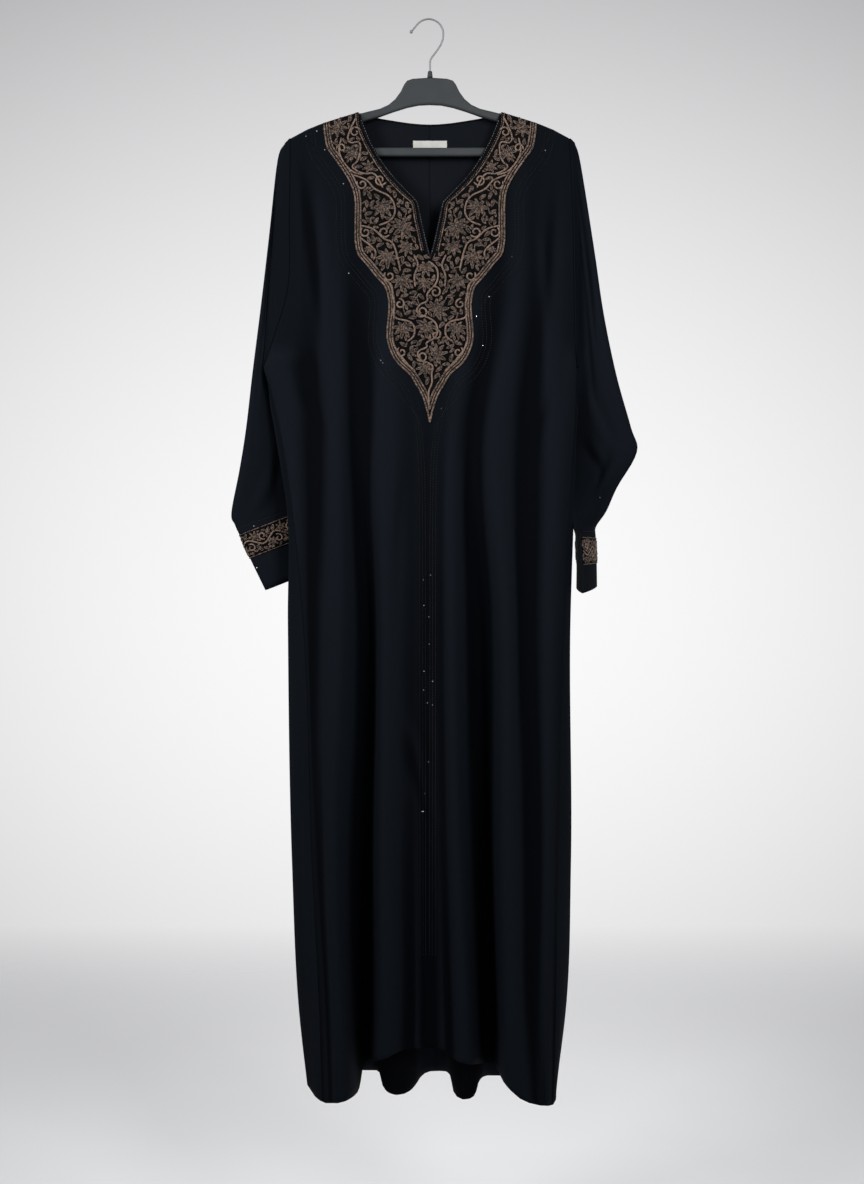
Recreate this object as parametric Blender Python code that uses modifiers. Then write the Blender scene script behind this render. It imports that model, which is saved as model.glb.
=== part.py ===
"""A long black jilbab with an embroidered yoke and cuffs, hanging on a plastic hanger.

The origin is the inside top of the hanger's hook, where a rail or a wall hook holds it. +X is to the
right as seen from the front, the front of the garment faces -Y, and +Z is up. The tables are in
millimetres. In them, drop is how far a point lies below the origin, across is its X, and depth is
its Y, so that a negative depth is nearer the viewer.

Every panel of cloth is an open surface through its folds, given the cloth's thickness by Solidify.
The body is one closed loop of folds at each drop, which the seams divide into its panels.
"""

import math
from collections import namedtuple

import bmesh
import bpy
import numpy as np

MM = 0.001
COLLECTION = "jilbab_on_hanger"

# Cloth
CLOTH = 1.4
SEAM_DRAWN_IN = 0.22
CLOSING_HEIGHT = 50.0
LAID_GAP = 0.7
ROLL = 9.5
UNDERARM = 522.0
NECK_POINT = 109.0

# How finely a panel's surface is read where something is laid on it.
DEPTH_SAMPLES = 220
SLOPE_REACH = 0.4

# Rows of each body panel: shares of the way from its top edge to the underarm, then to the hem.
UPPER_ROWS = (0, 0.0035, 0.0138, 0.0276, 0.09, 0.18, 0.29, 0.41, 0.53, 0.65, 0.77, 0.885, 1)
LOWER_ROWS = (0.09, 0.18, 0.27, 0.36, 0.45, 0.54, 0.63, 0.72, 0.81, 0.91, 1)

# The top of the shoulders and the neck edges, the same on both sides.
Edge = namedtuple("Edge", "across drop")
SHOULDER = (
    Edge(0, 121),
    Edge(60, 127),
    Edge(109, 140),
    Edge(143, 150.5),
    Edge(163, 157),
    Edge(184, 165.5),
    Edge(208, 178.5),
    Edge(230, 196),
)
FRONT_NECK = (
    Edge(0, 363),
    Edge(4.5, 349),
    Edge(9, 330),
    Edge(15, 303),
    Edge(20, 278),
    Edge(34, 264),
    Edge(52, 246),
    Edge(66, 229),
    Edge(79, 209),
    Edge(91, 186),
    Edge(100, 164),
    Edge(106.9, 143.9),
    Edge(109, 140),
)
BACK_NECK = (
    Edge(0, 156),
    Edge(22, 154.5),
    Edge(50, 151),
    Edge(75, 147),
    Edge(98, 141.4),
    Edge(109, 140),
)

# The two side edges. Down to the underarm an edge is the armhole, in front and, mirrored, behind.
# Below it the edge is the side seam, and turn is the body's outermost fold, just behind that seam.
Side = namedtuple("Side", "drop edge_across edge_depth turn_across turn_depth")
LEFT_SIDE = (
    Side(178, -208, -9.5, -190, 9.5),
    Side(290, -209.5, -9.5, -191, 10),
    Side(420, -215, -9, -196, 11),
    Side(480, -234, -6.5, -216, 9),
    Side(522, -247.5, 0, -244, 5.5),
    Side(560, -238, -3, -241, 3.5),
    Side(625, -223, -6, -230, 2),
    Side(745, -204, -15, -213, -1),
    Side(900, -188, -25, -212, -4),
    Side(1265, -172, -45, -205, -12),
    Side(1480, -160, -58, -193, -22),
    Side(1600, -156, -66, -177, -36),
)
RIGHT_SIDE = (
    Side(178, 208, -9.5, 190, 9.5),
    Side(290, 213, -9.5, 193, 10),
    Side(420, 215.5, -9, 197, 11),
    Side(480, 217, -6.5, 201, 9),
    Side(522, 219, 0, 216, 5.5),
    Side(560, 219, -3, 221.5, 3.5),
    Side(625, 215, -6, 219, 2),
    Side(745, 207, -15, 214, 1),
    Side(900, 198, -25, 209, 2),
    Side(1265, 186.5, -42, 211, 0),
    Side(1480, 183, -50, 203, -6),
    Side(1600, 179.5, -52, 187, -14),
)

# The folds from left to right. across and depth are given at each of FOLD_DROPS, hem is the drop of
# the hem there, and columns is how many columns of faces lie between this fold and the next, or
# their shares of the way there, with a narrow one beside each seam so that it turns with its neighbour.
Fold = namedtuple("Fold", "name across depth hem columns")
FOLD_DROPS = (185, 420, 625, 900, 1265, 1480, 1600)
AFTER_SEAM = (0, 0.08, 0.38, 0.69)
BEFORE_SEAM = (0, 0.31, 0.62, 0.92)
AFTER_NECK_POINT = (0, 0.05, 0.3, 0.65)
BEFORE_NECK_POINT = (0, 0.35, 0.7, 0.95)
FRONT_HEM_AT_SEAMS = (1592, 1612)
FRONT_FOLDS = (
    Fold(
        "left_hollow",
        (-190, -188, -172, -178, -163, -150, -145),
        (-9.5, -11, -14, -27, -50, -66, -76),
        1594,
        3,
    ),
    Fold(
        "left_ridge",
        (-148, -137, -135, -132, -145, -136, -132),
        (-9.5, -16, -28, -50, -70, -80, -85),
        1595,
        4,
    ),
    Fold(
        "left_valley",
        (-109, -117, -108, -90, -97, -98, -97),
        (-9.5, -13, -13, -8, 0, 6, 10),
        1566,
        AFTER_NECK_POINT,
    ),
    Fold(
        "left_inner_ridge",
        (-66, -60, -72, -67, -67, -65, -74),
        (-10.5, -17, -26, -45, -60, -66, -68),
        1539,
        4,
    ),
    Fold(
        "notch_left",
        (-20, -20, -25, -24, -24, -23, -26),
        (-11.5, -16, -22, -31, -39, -43, -46),
        1533,
        3,
    ),
    Fold(
        "centre",
        (0, 0, -4, -4, -4, -4, -4),
        (-12, -15.5, -20, -25, -30, -33, -35),
        1532,
        3,
    ),
    Fold(
        "notch_right",
        (20, 20, 14, 13, 17, 22, 26),
        (-11.5, -16, -22.5, -31, -41, -45, -48),
        1534,
        3,
    ),
    Fold(
        "right_inner_ridge",
        (66, 60, 33, 29, 36.5, 46, 53),
        (-10.5, -17, -26, -45, -60, -66, -68),
        1541,
        BEFORE_NECK_POINT,
    ),
    Fold(
        "right_valley",
        (109, 100, 64, 74, 81, 87, 88),
        (-9.5, -13, -14, -8, 2, 8, 10),
        1566,
        4,
    ),
    Fold(
        "right_ridge",
        (135, 128, 97, 112, 113, 122, 130),
        (-9.5, -17, -28, -50, -70, -80, -85),
        1590,
        4,
    ),
    Fold(
        "right_hollow",
        (160, 156, 147, 146, 156, 152, 154),
        (-9.5, -12, -15, -33, -53, -66, -74),
        1601,
        3,
    ),
    Fold(
        "right_outer_ridge",
        (190, 188, 192, 180, 174, 168, 168),
        (-9.5, -13.5, -21, -39, -56, -66, -68),
        1607,
        BEFORE_SEAM,
    ),
)
BACK_FOLDS = (
    Fold(
        "left_far",
        (-109, -130, -150, -140, -130, -122, -118),
        (9.5, 14, 21, 32, 46, 58, 64),
        1604,
        5,
    ),
    Fold(
        "left_near",
        (-55, -60, -62, -60, -55, -52, -50),
        (10.5, 11.5, 11, 9, 8, 6, 5),
        1617,
        BEFORE_SEAM,
    ),
    Fold(
        "centre_back",
        (0, 0, 0, -2, 4, 8, 9),
        (11, 15, 25, 40, 54, 62, 66),
        1606,
        AFTER_SEAM,
    ),
    Fold(
        "right_near",
        (55, 60, 60, 56, 54, 53, 52),
        (10.5, 11.5, 11, 9, 8, 6, 5),
        1620,
        5,
    ),
    Fold(
        "right_far",
        (109, 128, 135, 126, 118, 114, 110),
        (9.5, 14, 22, 38, 54, 64, 70),
        1610,
        5,
    ),
)
TURN_HEMS = (1600, 1618)
BACK_TURN_COLUMNS = 5

# The sleeves, as flat rings from the armhole to the cuff. outer is the outer fold and inner the
# under seam, each as across, depth and drop. turn is how far the flat ring is turned about the
# vertical, and bulge is half of its thickness.
Ring = namedtuple("Ring", "name outer inner turn bulge")
LEFT_RINGS = (
    Ring("cap", (-216.5, 0, 184), (-251, 2, 528), 0, 7),
    Ring("head", (-228, 0, 210), (-251.5, 6, 537), 0, 4.5),
    Ring("upper", (-239.5, 2, 313), (-252.5, 10, 554), 0, 9),
    Ring("arm", (-253, 8, 420), (-240, 27, 590), 0, 11),
    Ring("elbow", (-267, 13, 525), (-222, 35, 622), 0, 13),
    Ring("lower", (-278, 20, 610), (-205, 40, 655), 0, 13),
    Ring("forearm", (-289, 26, 673), (-191, 46, 682), 0, 12),
    Ring("knee", (-302, 31, 737), (-179, 49, 704), 0, 11),
    Ring("above_band", (-297, 32, 755), (-174, 50, 714), 0, 10.5),
    Ring("band_top", (-290, 33, 771), (-170, 51, 723), 0, 10),
    Ring("band_bottom", (-274, 35, 807), (-154, 53, 760), 0, 10),
    Ring("hem", (-251, 37, 855), (-132, 55, 807), 0, 10.5),
)
RIGHT_RINGS = (
    Ring("cap", (216.5, 0, 184), (222, 2, 528), 0, 7),
    Ring("head", (225.5, 0, 216), (223.5, 6, 538), 0, 4.5),
    Ring("upper", (246, 0, 346), (222, 14, 560), 0, 9),
    Ring("arm", (260.5, 5, 440), (217, 23, 590), 0, 13),
    Ring("elbow", (280, 8, 532), (212, 31, 621), 0, 15),
    Ring("lower", (302, 12, 609), (210, 34, 652), 6, 13),
    Ring("forearm", (311, 20, 646), (212, 30, 688), 18, 14.5),
    Ring("knee", (280, 42, 698), (216, 16, 722), 42, 13),
    Ring("wrist", (261, 58, 734), (215.7, 2, 744), 66, 14),
    Ring("above_band", (245, 68, 757), (215.5, -6, 762), 78, 14),
    Ring("band_top", (243, 72, 774), (223.5, -16, 776), 84, 15.5),
    Ring("band_bottom", (244, 74, 813), (226, -17, 818), 84, 15.5),
    Ring("hem", (243, 74, 838), (227, -16, 862), 84, 16),
)
ARMHOLE_GAP = 0.45
UNDERARM_GAP = 1.4
ARMHOLE_LEAD = 2.0
SLEEVE_SHARES = (0, 0.012, 0.045, 0.1, 0.18, 0.28, 0.39, 0.5, 0.61, 0.72, 0.82, 0.92, 1)
ROUND_FOLD_SHARE = 0.1
BAND_END_SHARE = 0.4
ARMHOLE_BLEND = {"cap": 0.8, "head": 0.5, "upper": 0.2}
BAND_THICKNESS = 1.2
BAND_GAP = 0.3

# The yoke, row by row from the shoulder to its point: the inner edge follows the neck and then the
# centre front, and the outer edge is the embroidered border.
YokeRow = namedtuple("YokeRow", "inner_across inner_drop outer_across outer_drop")
YOKE_ON_SHOULDER = (1.4, 5.0, 10.0)
YOKE_SHOULDER_EDGES = (106.5, 159.5)
YOKE_LEGS = (
    YokeRow(104, 162, 158, 176),
    YokeRow(95, 184, 154, 196),
    YokeRow(85, 203, 142.5, 213),
    YokeRow(72, 224, 126, 237),
    YokeRow(56, 244.5, 115.5, 259),
    YokeRow(38, 263, 112.5, 278),
    YokeRow(23, 277.5, 112.5, 296),
    YokeRow(18, 303, 112.5, 314),
    YokeRow(12, 330, 112.5, 334),
    YokeRow(7.5, 350, 108, 355),
)
YOKE_BIB = (
    YokeRow(0, 367, 95, 371),
    YokeRow(0, 385, 80, 390),
    YokeRow(0, 403, 67.5, 405),
    YokeRow(0, 425, 62.5, 425),
    YokeRow(0, 445, 62.5, 445),
    YokeRow(0, 465, 64.5, 465),
    YokeRow(0, 483, 64.5, 483),
    YokeRow(0, 502, 59, 502),
    YokeRow(0, 519, 49, 519),
    YokeRow(0, 536, 31, 536),
    YokeRow(0, 552, 21, 552),
    YokeRow(0, 568, 12, 568),
    YokeRow(0, 597, 3, 594),
)
YOKE_BORDER = 11.0
YOKE_BORDER_EDGE = 2.2
YOKE_NECK_LINE = 4.0
YOKE_THICKNESS = 1.9
YOKE_FIELD_SHARE = 0.55
YOKE_NECK_SHARE = 0.85
YOKE_FIELD_STEPS = 4

BINDING_RADIUS = 1.0
BINDING_FROM_EDGE = 1.6
BINDING_TURN = 1.3
BINDING_AT_SHOULDER = (107.3, 0, 138.7)

# Label and tab, on the inside of the back.
LABEL_WIDTH = 51.0
LABEL_TOP = 178.0
LABEL_BOTTOM = 192.5
TAB_WIDTH = 12.0
TAB_BELOW_LABEL = 0.3
TAB_BOTTOM = 201.0
LABEL_STEPS = 5
TAB_STEPS = 3
LABEL_THICKNESS = 0.6
LABEL_GAP = 0.4

# Hanger
ARM_HALF_DEPTH = 4.0
ARM_BEVEL = 2.8
ARM_BELOW_CLOTH = 1.9
ARM_HEIGHT = 12.6
ARM_TIP = 203.0
BAR_TOP = 192.0
BAR_BOTTOM = 205.0
BAR_HOLE_END = 176.0
PLATE_FLANK = (
    Edge(0, 86.8),
    Edge(26, 88.6),
    Edge(34.5, 91.5),
    Edge(39, 97.5),
    Edge(44, 108),
    Edge(52, 119),
    Edge(62, 127.5),
    Edge(75, 133.5),
    Edge(92, 137.6),
)
COLLAR_TOP = 77.6
COLLAR_BOTTOM = 86.5
COLLAR_RADII = (3.2, 4.2)
HOLE_TOP = (
    Edge(0, 127.5),
    Edge(17, 128.3),
    Edge(34, 131.8),
    Edge(54, 138),
    Edge(75, 145.5),
    Edge(100, 153),
)

# The hook: an arc over the crown, a short tip to the left, and a leg down to the hanger.
HOOK_WIRE = 1.4
HOOK_CENTRE = (-2.0, 20.6)
HOOK_RADIUS = 22.0
HOOK_ARC = (140, 0, 14)
HOOK_TIP = Edge(-26.3, 15.4)
HOOK_LEG = (
    Edge(19.4, 28.9),
    Edge(16.6, 36.5),
    Edge(12.4, 43.3),
    Edge(7.5, 49.9),
    Edge(3.2, 55.6),
    Edge(0.8, 59.6),
    Edge(0, 64),
    Edge(0, 77.3),
)
BALL_RADIUS = 2.6
BALL_CENTRE = Edge(-28.15, 17.65)

Finish = namedtuple("Finish", "colour roughness metallic")
FINISHES = {
    "crepe": Finish((0.0095, 0.0116, 0.0150), 0.85, 0.0),
    "embroidery": Finish((0.065, 0.045, 0.037), 0.6, 0.15),
    "binding": Finish((0.006, 0.007, 0.009), 0.7, 0.0),
    "label": Finish((0.62, 0.60, 0.56), 0.6, 0.0),
    "plastic": Finish((0.060, 0.066, 0.069), 0.45, 0.0),
    "steel": Finish((0.55, 0.55, 0.56), 0.3, 1.0),
}


def clear_scene():
    """Remove what a new file holds."""
    for thing in list(bpy.data.objects):
        bpy.data.objects.remove(thing)


def finish_material(name, finish):
    """One object's own material, in one of the finishes."""
    made = bpy.data.materials.new(name)
    made.use_nodes = True
    shader = made.node_tree.nodes["Principled BSDF"]
    shader.inputs["Base Color"].default_value = (*finish.colour, 1.0)
    shader.inputs["Roughness"].default_value = finish.roughness
    shader.inputs["Metallic"].default_value = finish.metallic
    return made


def smooth_between(stops, values, at):
    """Values at any stop, on a smooth line through a table's rows. It holds the end values beyond them."""
    stops = np.asarray(stops, float)
    values = np.asarray(values, float)
    at = np.clip(np.asarray(at, float), stops[0], stops[-1])
    steps = np.diff(stops)
    rates = np.diff(values, axis=0) / steps[:, None]
    slopes = np.empty_like(values)
    slopes[0] = rates[0]
    slopes[-1] = rates[-1]
    share = (steps[1:] / (steps[1:] + steps[:-1]))[:, None]
    slopes[1:-1] = rates[:-1] * share + rates[1:] * (1 - share)
    row = np.clip(np.searchsorted(stops, at, side="right") - 1, 0, len(steps) - 1)
    step = steps[row][..., None]
    w = (at - stops[row])[..., None] / step
    return (
        (1 + 2 * w) * (1 - w) ** 2 * values[row]
        + w * (1 - w) ** 2 * step * slopes[row]
        + w**2 * (3 - 2 * w) * values[row + 1]
        + w**2 * (w - 1) * step * slopes[row + 1]
    )


def on_edge(edge, across):
    """The drop of a neck edge or a shoulder at a distance from the middle, on either side."""
    return np.interp(np.abs(across), [row.across for row in edge], [row.drop for row in edge])


def curve_point(before, start, end, after, share):
    """A point between start and end on the round curve through four fold points."""
    lengths = [
        np.maximum(np.linalg.norm(b - a, axis=-1, keepdims=True), 1e-6)
        for a, b in ((before, start), (start, end), (end, after))
    ]
    rates = [
        (b - a) / length
        for (a, b), length in zip(((before, start), (start, end), (end, after)), lengths)
    ]
    leave = (rates[0] * lengths[1] + rates[1] * lengths[0]) / (lengths[0] + lengths[1])
    arrive = (rates[1] * lengths[2] + rates[2] * lengths[1]) / (lengths[1] + lengths[2])
    w = share[..., None]
    return (
        (1 + 2 * w) * (1 - w) ** 2 * start
        + w * (1 - w) ** 2 * lengths[1] * leave
        + w**2 * (3 - 2 * w) * end
        + w**2 * (w - 1) * lengths[1] * arrive
    )


def side_points(side, drop):
    """The armhole or seam edge, and the outermost fold, as (across, depth) at a drop."""
    rows = smooth_between([row.drop for row in side], [row[1:] for row in side], drop)
    return rows[..., :2], rows[..., 2:]


def fold_points(fold, drop):
    """One fold as (across, depth) at a drop."""
    return smooth_between(FOLD_DROPS, np.transpose([fold.across, fold.depth]), drop)


def closing_share(drop):
    """0 where front and back are still parted by the armhole, 1 from the underarm down."""
    share = np.clip((drop - UNDERARM) / CLOSING_HEIGHT + 1, 0, 1)[..., None]
    return share * share * (3 - 2 * share)


def behind(edge, drop):
    """The back's edge: mirrored behind the front's above the underarm, and the same below it."""
    flip = np.where(drop < UNDERARM, -1.0, 1.0)
    return np.stack([edge[..., 0], edge[..., 1] * flip], axis=-1)


def front_knots(drop):
    """The front's fold points at each drop, with one more beyond each of its edges."""
    inner = [fold_points(fold, drop) for fold in FRONT_FOLDS]
    left, left_turn = side_points(LEFT_SIDE, drop)
    right, right_turn = side_points(RIGHT_SIDE, drop)
    share = closing_share(drop)
    before = left_turn * share + (2 * left - inner[0]) * (1 - share)
    after = right_turn * share + (2 * right - inner[-1]) * (1 - share)
    return [before, left, *inner, right, after]


def back_knots(drop):
    """The back's fold points at each drop, with one more beyond each of its edges."""
    inner = [fold_points(fold, drop) for fold in BACK_FOLDS]
    left, left_turn = side_points(LEFT_SIDE, drop)
    right, right_turn = side_points(RIGHT_SIDE, drop)
    left, right = behind(left, drop), behind(right, drop)
    share = closing_share(drop)
    first, last = fold_points(FRONT_FOLDS[0], drop), fold_points(FRONT_FOLDS[-1], drop)
    before = first * share + (2 * left - left_turn) * (1 - share)
    after = last * share + (2 * right - right_turn) * (1 - share)
    return [before, left, left_turn, *inner, right_turn, right, after]


Panel = namedtuple("Panel", "knots neck places hems facing")


def column_places(columns):
    """Where each column lies, in folds from the left edge."""
    places = []
    for fold, wanted in enumerate(columns):
        shares = wanted if isinstance(wanted, tuple) else np.arange(wanted) / wanted
        places.extend(fold + share for share in shares)
    return np.array([*places, len(columns)], float)


FRONT = Panel(
    front_knots,
    FRONT_NECK,
    column_places([AFTER_SEAM, *(fold.columns for fold in FRONT_FOLDS)]),
    [FRONT_HEM_AT_SEAMS[0], *(fold.hem for fold in FRONT_FOLDS), FRONT_HEM_AT_SEAMS[1]],
    -1,
)
BACK = Panel(
    back_knots,
    BACK_NECK,
    column_places(
        [AFTER_SEAM, BACK_TURN_COLUMNS, *(fold.columns for fold in BACK_FOLDS), BEFORE_SEAM]
    ),
    [
        FRONT_HEM_AT_SEAMS[0],
        TURN_HEMS[0],
        *(fold.hem for fold in BACK_FOLDS),
        TURN_HEMS[1],
        FRONT_HEM_AT_SEAMS[1],
    ],
    1,
)
CENTRE_BACK_PLACE = 4


def body_points(panel, place, drop):
    """Points of a panel's middle surface, as across, depth and drop, rolled over the shoulders."""
    place, drop = np.broadcast_arrays(np.asarray(place, float), np.asarray(drop, float))
    knots = np.stack(panel.knots(drop))
    fold = np.clip(np.floor(place).astype(int), 0, len(knots) - 4)
    four = [np.take_along_axis(knots, (fold + i)[None, ..., None], axis=0)[0] for i in range(4)]
    point = curve_point(*four, place - fold)
    across, depth = point[..., 0], point[..., 1]
    below = np.clip((drop - on_edge(SHOULDER, across)) / ROLL, 0, 1)
    depth = depth * np.sqrt(1 - (1 - below) ** 2) + panel.facing * SEAM_DRAWN_IN
    return np.stack([across, depth, drop], axis=-1)


def body_drops(panel, places):
    """The drop of each row of a panel in each of its columns."""
    start = body_points(panel, places, np.full(len(places), float(FOLD_DROPS[0])))[:, 0]
    top = np.where(np.abs(start) < NECK_POINT - 0.5, on_edge(panel.neck, start), on_edge(SHOULDER, start))
    hem = smooth_between(range(len(panel.hems)), np.reshape(panel.hems, (-1, 1)), places)[:, 0]
    upper = top + (UNDERARM - top) * np.reshape(UPPER_ROWS, (-1, 1))
    lower = UNDERARM + (hem - UNDERARM) * np.reshape(LOWER_ROWS, (-1, 1))
    return np.concatenate([upper, lower])


def body_grid(panel, places):
    """All points of a panel, row by row, each side edge drawn in a little from its seam."""
    grid = body_points(panel, places, body_drops(panel, places))
    for edge, inside in ((0, 1), (-1, -2)):
        inward = grid[:, inside, :2] - grid[:, edge, :2]
        inward /= np.linalg.norm(inward, axis=1, keepdims=True)
        grid[:, edge, :2] += inward * SEAM_DRAWN_IN
    return grid


def depth_on(panel, across, drop):
    """The depth of a panel's surface at points given by across and drop."""
    places = np.linspace(0, len(panel.hems) - 1, DEPTH_SAMPLES)
    flat_across, flat_drop = np.ravel(across), np.ravel(drop)
    found = []
    for x, down in zip(flat_across, flat_drop):
        line = body_points(panel, places, np.full(len(places), down))
        found.append(np.interp(x, line[:, 0], line[:, 1]))
    return np.reshape(found, np.shape(across))


def laid_on(panel, across, drop, lift):
    """Points that lie on a panel, moved out along its normal. A negative lift is inside the body."""
    across, drop = np.asarray(across, float), np.asarray(drop, float)
    reach = SLOPE_REACH
    depth = depth_on(panel, across, drop)
    slope_across = (depth_on(panel, across + reach, drop) - depth) / reach
    slope_drop = (depth_on(panel, across, drop + reach) - depth) / reach
    normal = np.stack([-slope_across, np.ones_like(depth), -slope_drop], axis=-1) * panel.facing
    normal /= np.linalg.norm(normal, axis=-1, keepdims=True)
    return np.stack([across, depth, drop], axis=-1) + normal * lift


def to_world(points):
    """Across, depth and drop in millimetres as a place in metres."""
    points = np.asarray(points, float)
    return np.stack([points[..., 0], points[..., 1], -points[..., 2]], axis=-1) * MM


def add_object(name, data, finish):
    """A new object in the garment's collection, with its own material."""
    made = bpy.data.objects.new(name, data)
    bpy.data.collections[COLLECTION].objects.link(made)
    data.materials.append(finish_material(name, FINISHES[finish]))
    return made


def grid_faces(rows, columns, around=False, flip=False):
    """Faces of a grid whose points are numbered row by row. around joins the last column to the first."""
    faces = []
    for row in range(rows - 1):
        for column in range(columns if around else columns - 1):
            beside = (column + 1) % columns
            face = [
                row * columns + column,
                (row + 1) * columns + column,
                (row + 1) * columns + beside,
                row * columns + beside,
            ]
            faces.append(face[::-1] if flip else face)
    return faces


def ring_normals(points, flip):
    """The outward normals of a closed tube's points, as across, depth and drop."""
    beside = np.roll(points, -1, axis=1) - np.roll(points, 1, axis=1)
    down = np.gradient(points, axis=0)
    normal = np.cross(beside, down) * (-1 if flip else 1)
    return normal / np.linalg.norm(normal, axis=-1, keepdims=True)


def cloth_wall(name, points, faces, finish, thickness=CLOTH, offset=0.0, shares=None):
    """An open surface given a thickness. shares, for each point, raise its outer side by less."""
    mesh = bpy.data.meshes.new(name)
    mesh.from_pydata([tuple(point) for point in to_world(points)], [], faces)
    mesh.shade_smooth()
    made = add_object(name, mesh, finish)
    wall = made.modifiers.new("Thickness", "SOLIDIFY")
    wall.thickness = thickness * MM
    wall.offset = offset
    if shares is not None:
        raised = made.vertex_groups.new(name="raised")
        for index, share in enumerate(shares):
            raised.add([index], share, "REPLACE")
        wall.vertex_group = raised.name
    return made


def panel_object(name, panel, grid):
    """A body panel from its grid of points."""
    rows, columns = grid.shape[:2]
    faces = grid_faces(rows, columns, flip=panel.facing > 0)
    return cloth_wall(name, grid.reshape(-1, 3), faces, "crepe")


def neck_part(top_row):
    """The points of a panel's top edge that lie along its neck opening."""
    return top_row[np.abs(top_row[:, 0]) < NECK_POINT + 1]


def build_body():
    """The front and the two halves of the back. Returns each side's armhole edges and the neck edges."""
    front = body_grid(FRONT, FRONT.places)
    middle = int(np.argmin(np.abs(BACK.places - CENTRE_BACK_PLACE)))
    left = body_grid(BACK, BACK.places[: middle + 1])
    right = body_grid(BACK, BACK.places[middle:])
    panel_object("front", FRONT, front)
    panel_object("back_left", BACK, left)
    panel_object("back_right", BACK, right)
    shoulder_rows = len(UPPER_ROWS)
    armholes = {
        "left": (front[:shoulder_rows, 0], left[:shoulder_rows, 0]),
        "right": (front[:shoulder_rows, -1], right[:shoulder_rows, -1]),
    }
    back_top = np.concatenate([left[0], right[0, 1:]])
    return armholes, neck_part(front[0]), neck_part(back_top)


def armhole_ring(edges, side):
    """The sleeve's first ring: down the front armhole edge and up the back one, a little way out."""
    front, back = edges
    loop = np.concatenate([front, back[-2:0:-1]])
    last = len(UPPER_ROWS) - 1
    loop[[0, last], 1] = 0
    gap = np.full(len(loop), ARMHOLE_GAP)
    gap[last] = UNDERARM_GAP
    gap[[last - 1, last + 1]] = (ARMHOLE_GAP + UNDERARM_GAP) / 2
    loop[:, 0] += side * gap
    return loop


def flat_ring(ring, armhole_share):
    """One flattened ring of a sleeve, in the same order of points as the armhole ring."""
    outer, inner = np.array(ring.outer, float), np.array(ring.inner, float)
    shares = np.array(SLEEVE_SHARES) * (1 - armhole_share) + np.array(UPPER_ROWS) * armhole_share
    rounded = np.sqrt(1 - (1 - np.clip(shares / ROUND_FOLD_SHARE, 0, 1)) ** 2)
    half = ring.bulge * rounded * (1 - shares**2)
    turn = math.radians(ring.turn)
    out = np.array([math.sin(turn), -math.cos(turn), 0])
    middle = outer + (inner - outer) * shares[:, None]
    front = middle + out * half[:, None]
    back = middle - out * half[:, None]
    return np.concatenate([front, back[-2:0:-1]])


def build_sleeve(name, rings, edges, side):
    """One sleeve, from the armhole to the cuff, and the embroidered band that lies round it."""
    first = armhole_ring(edges, side)
    lead = first + np.array([side * ARMHOLE_LEAD, 0, 0])
    points = np.array([first, lead, *(flat_ring(ring, ARMHOLE_BLEND.get(ring.name, 0)) for ring in rings)])
    rows, columns = points.shape[:2]
    faces = grid_faces(rows, columns, around=True, flip=side > 0)
    cloth_wall("sleeve_" + name, points.reshape(-1, 3), faces, "crepe")
    top = 2 + [ring.name for ring in rings].index("band_top")
    build_cuff_band(name, points[top : top + 2], side)


def build_cuff_band(name, sleeve_points, side):
    """The band's own points are the sleeve's, moved out. Its ends stop just short of the under seam."""
    columns = sleeve_points.shape[1]
    lift = CLOTH / 2 + BAND_GAP + BAND_THICKNESS / 2
    raised = ring_normals(sleeve_points, flip=side > 0) * lift
    seam = len(SLEEVE_SHARES) - 1
    order = [(seam + step) % columns for step in range(1, columns)]
    strip = (sleeve_points + raised)[:, order]
    over_seam = [sleeve_points[:, seam] + raised[:, order[end]] for end in (0, -1)]
    ends = [over + (strip[:, end] - over) * BAND_END_SHARE for over, end in zip(over_seam, (0, -1))]
    points = np.concatenate([ends[0][:, None], strip, ends[1][:, None]], axis=1)
    faces = grid_faces(2, points.shape[1], flip=side > 0)
    cloth_wall("cuff_band_" + name, points.reshape(-1, 3), faces, "embroidery", BAND_THICKNESS)


def yoke_steps(row):
    """Across and drop of one row of half of the yoke, from its outer edge to its inner edge."""
    inner = np.array([row.inner_across, row.inner_drop], float)
    outer = np.array([row.outer_across, row.outer_drop], float)
    length = np.linalg.norm(outer - inner)
    border = min(YOKE_BORDER, 0.45 * length)
    edge = min(YOKE_BORDER_EDGE, 0.1 * length)
    neck = min(YOKE_NECK_LINE, 0.2 * length)
    field = np.linspace(border, length - neck, YOKE_FIELD_STEPS)
    along = np.array([0, edge, border - edge, *field, length]) / length
    return outer + (inner - outer) * along[:, None]


def yoke_half():
    """Half of the yoke, row by row from the shoulder to the point, as across and drop."""
    inner, outer = YOKE_SHOULDER_EDGES
    rows = []
    for below in YOKE_ON_SHOULDER:
        line = yoke_steps(YokeRow(inner, 0, outer, 0))
        line[:, 1] = on_edge(SHOULDER, line[:, 0]) + below
        rows.append(line)
    return np.array([*rows, *(yoke_steps(row) for row in (*YOKE_LEGS, *YOKE_BIB))])


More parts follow.
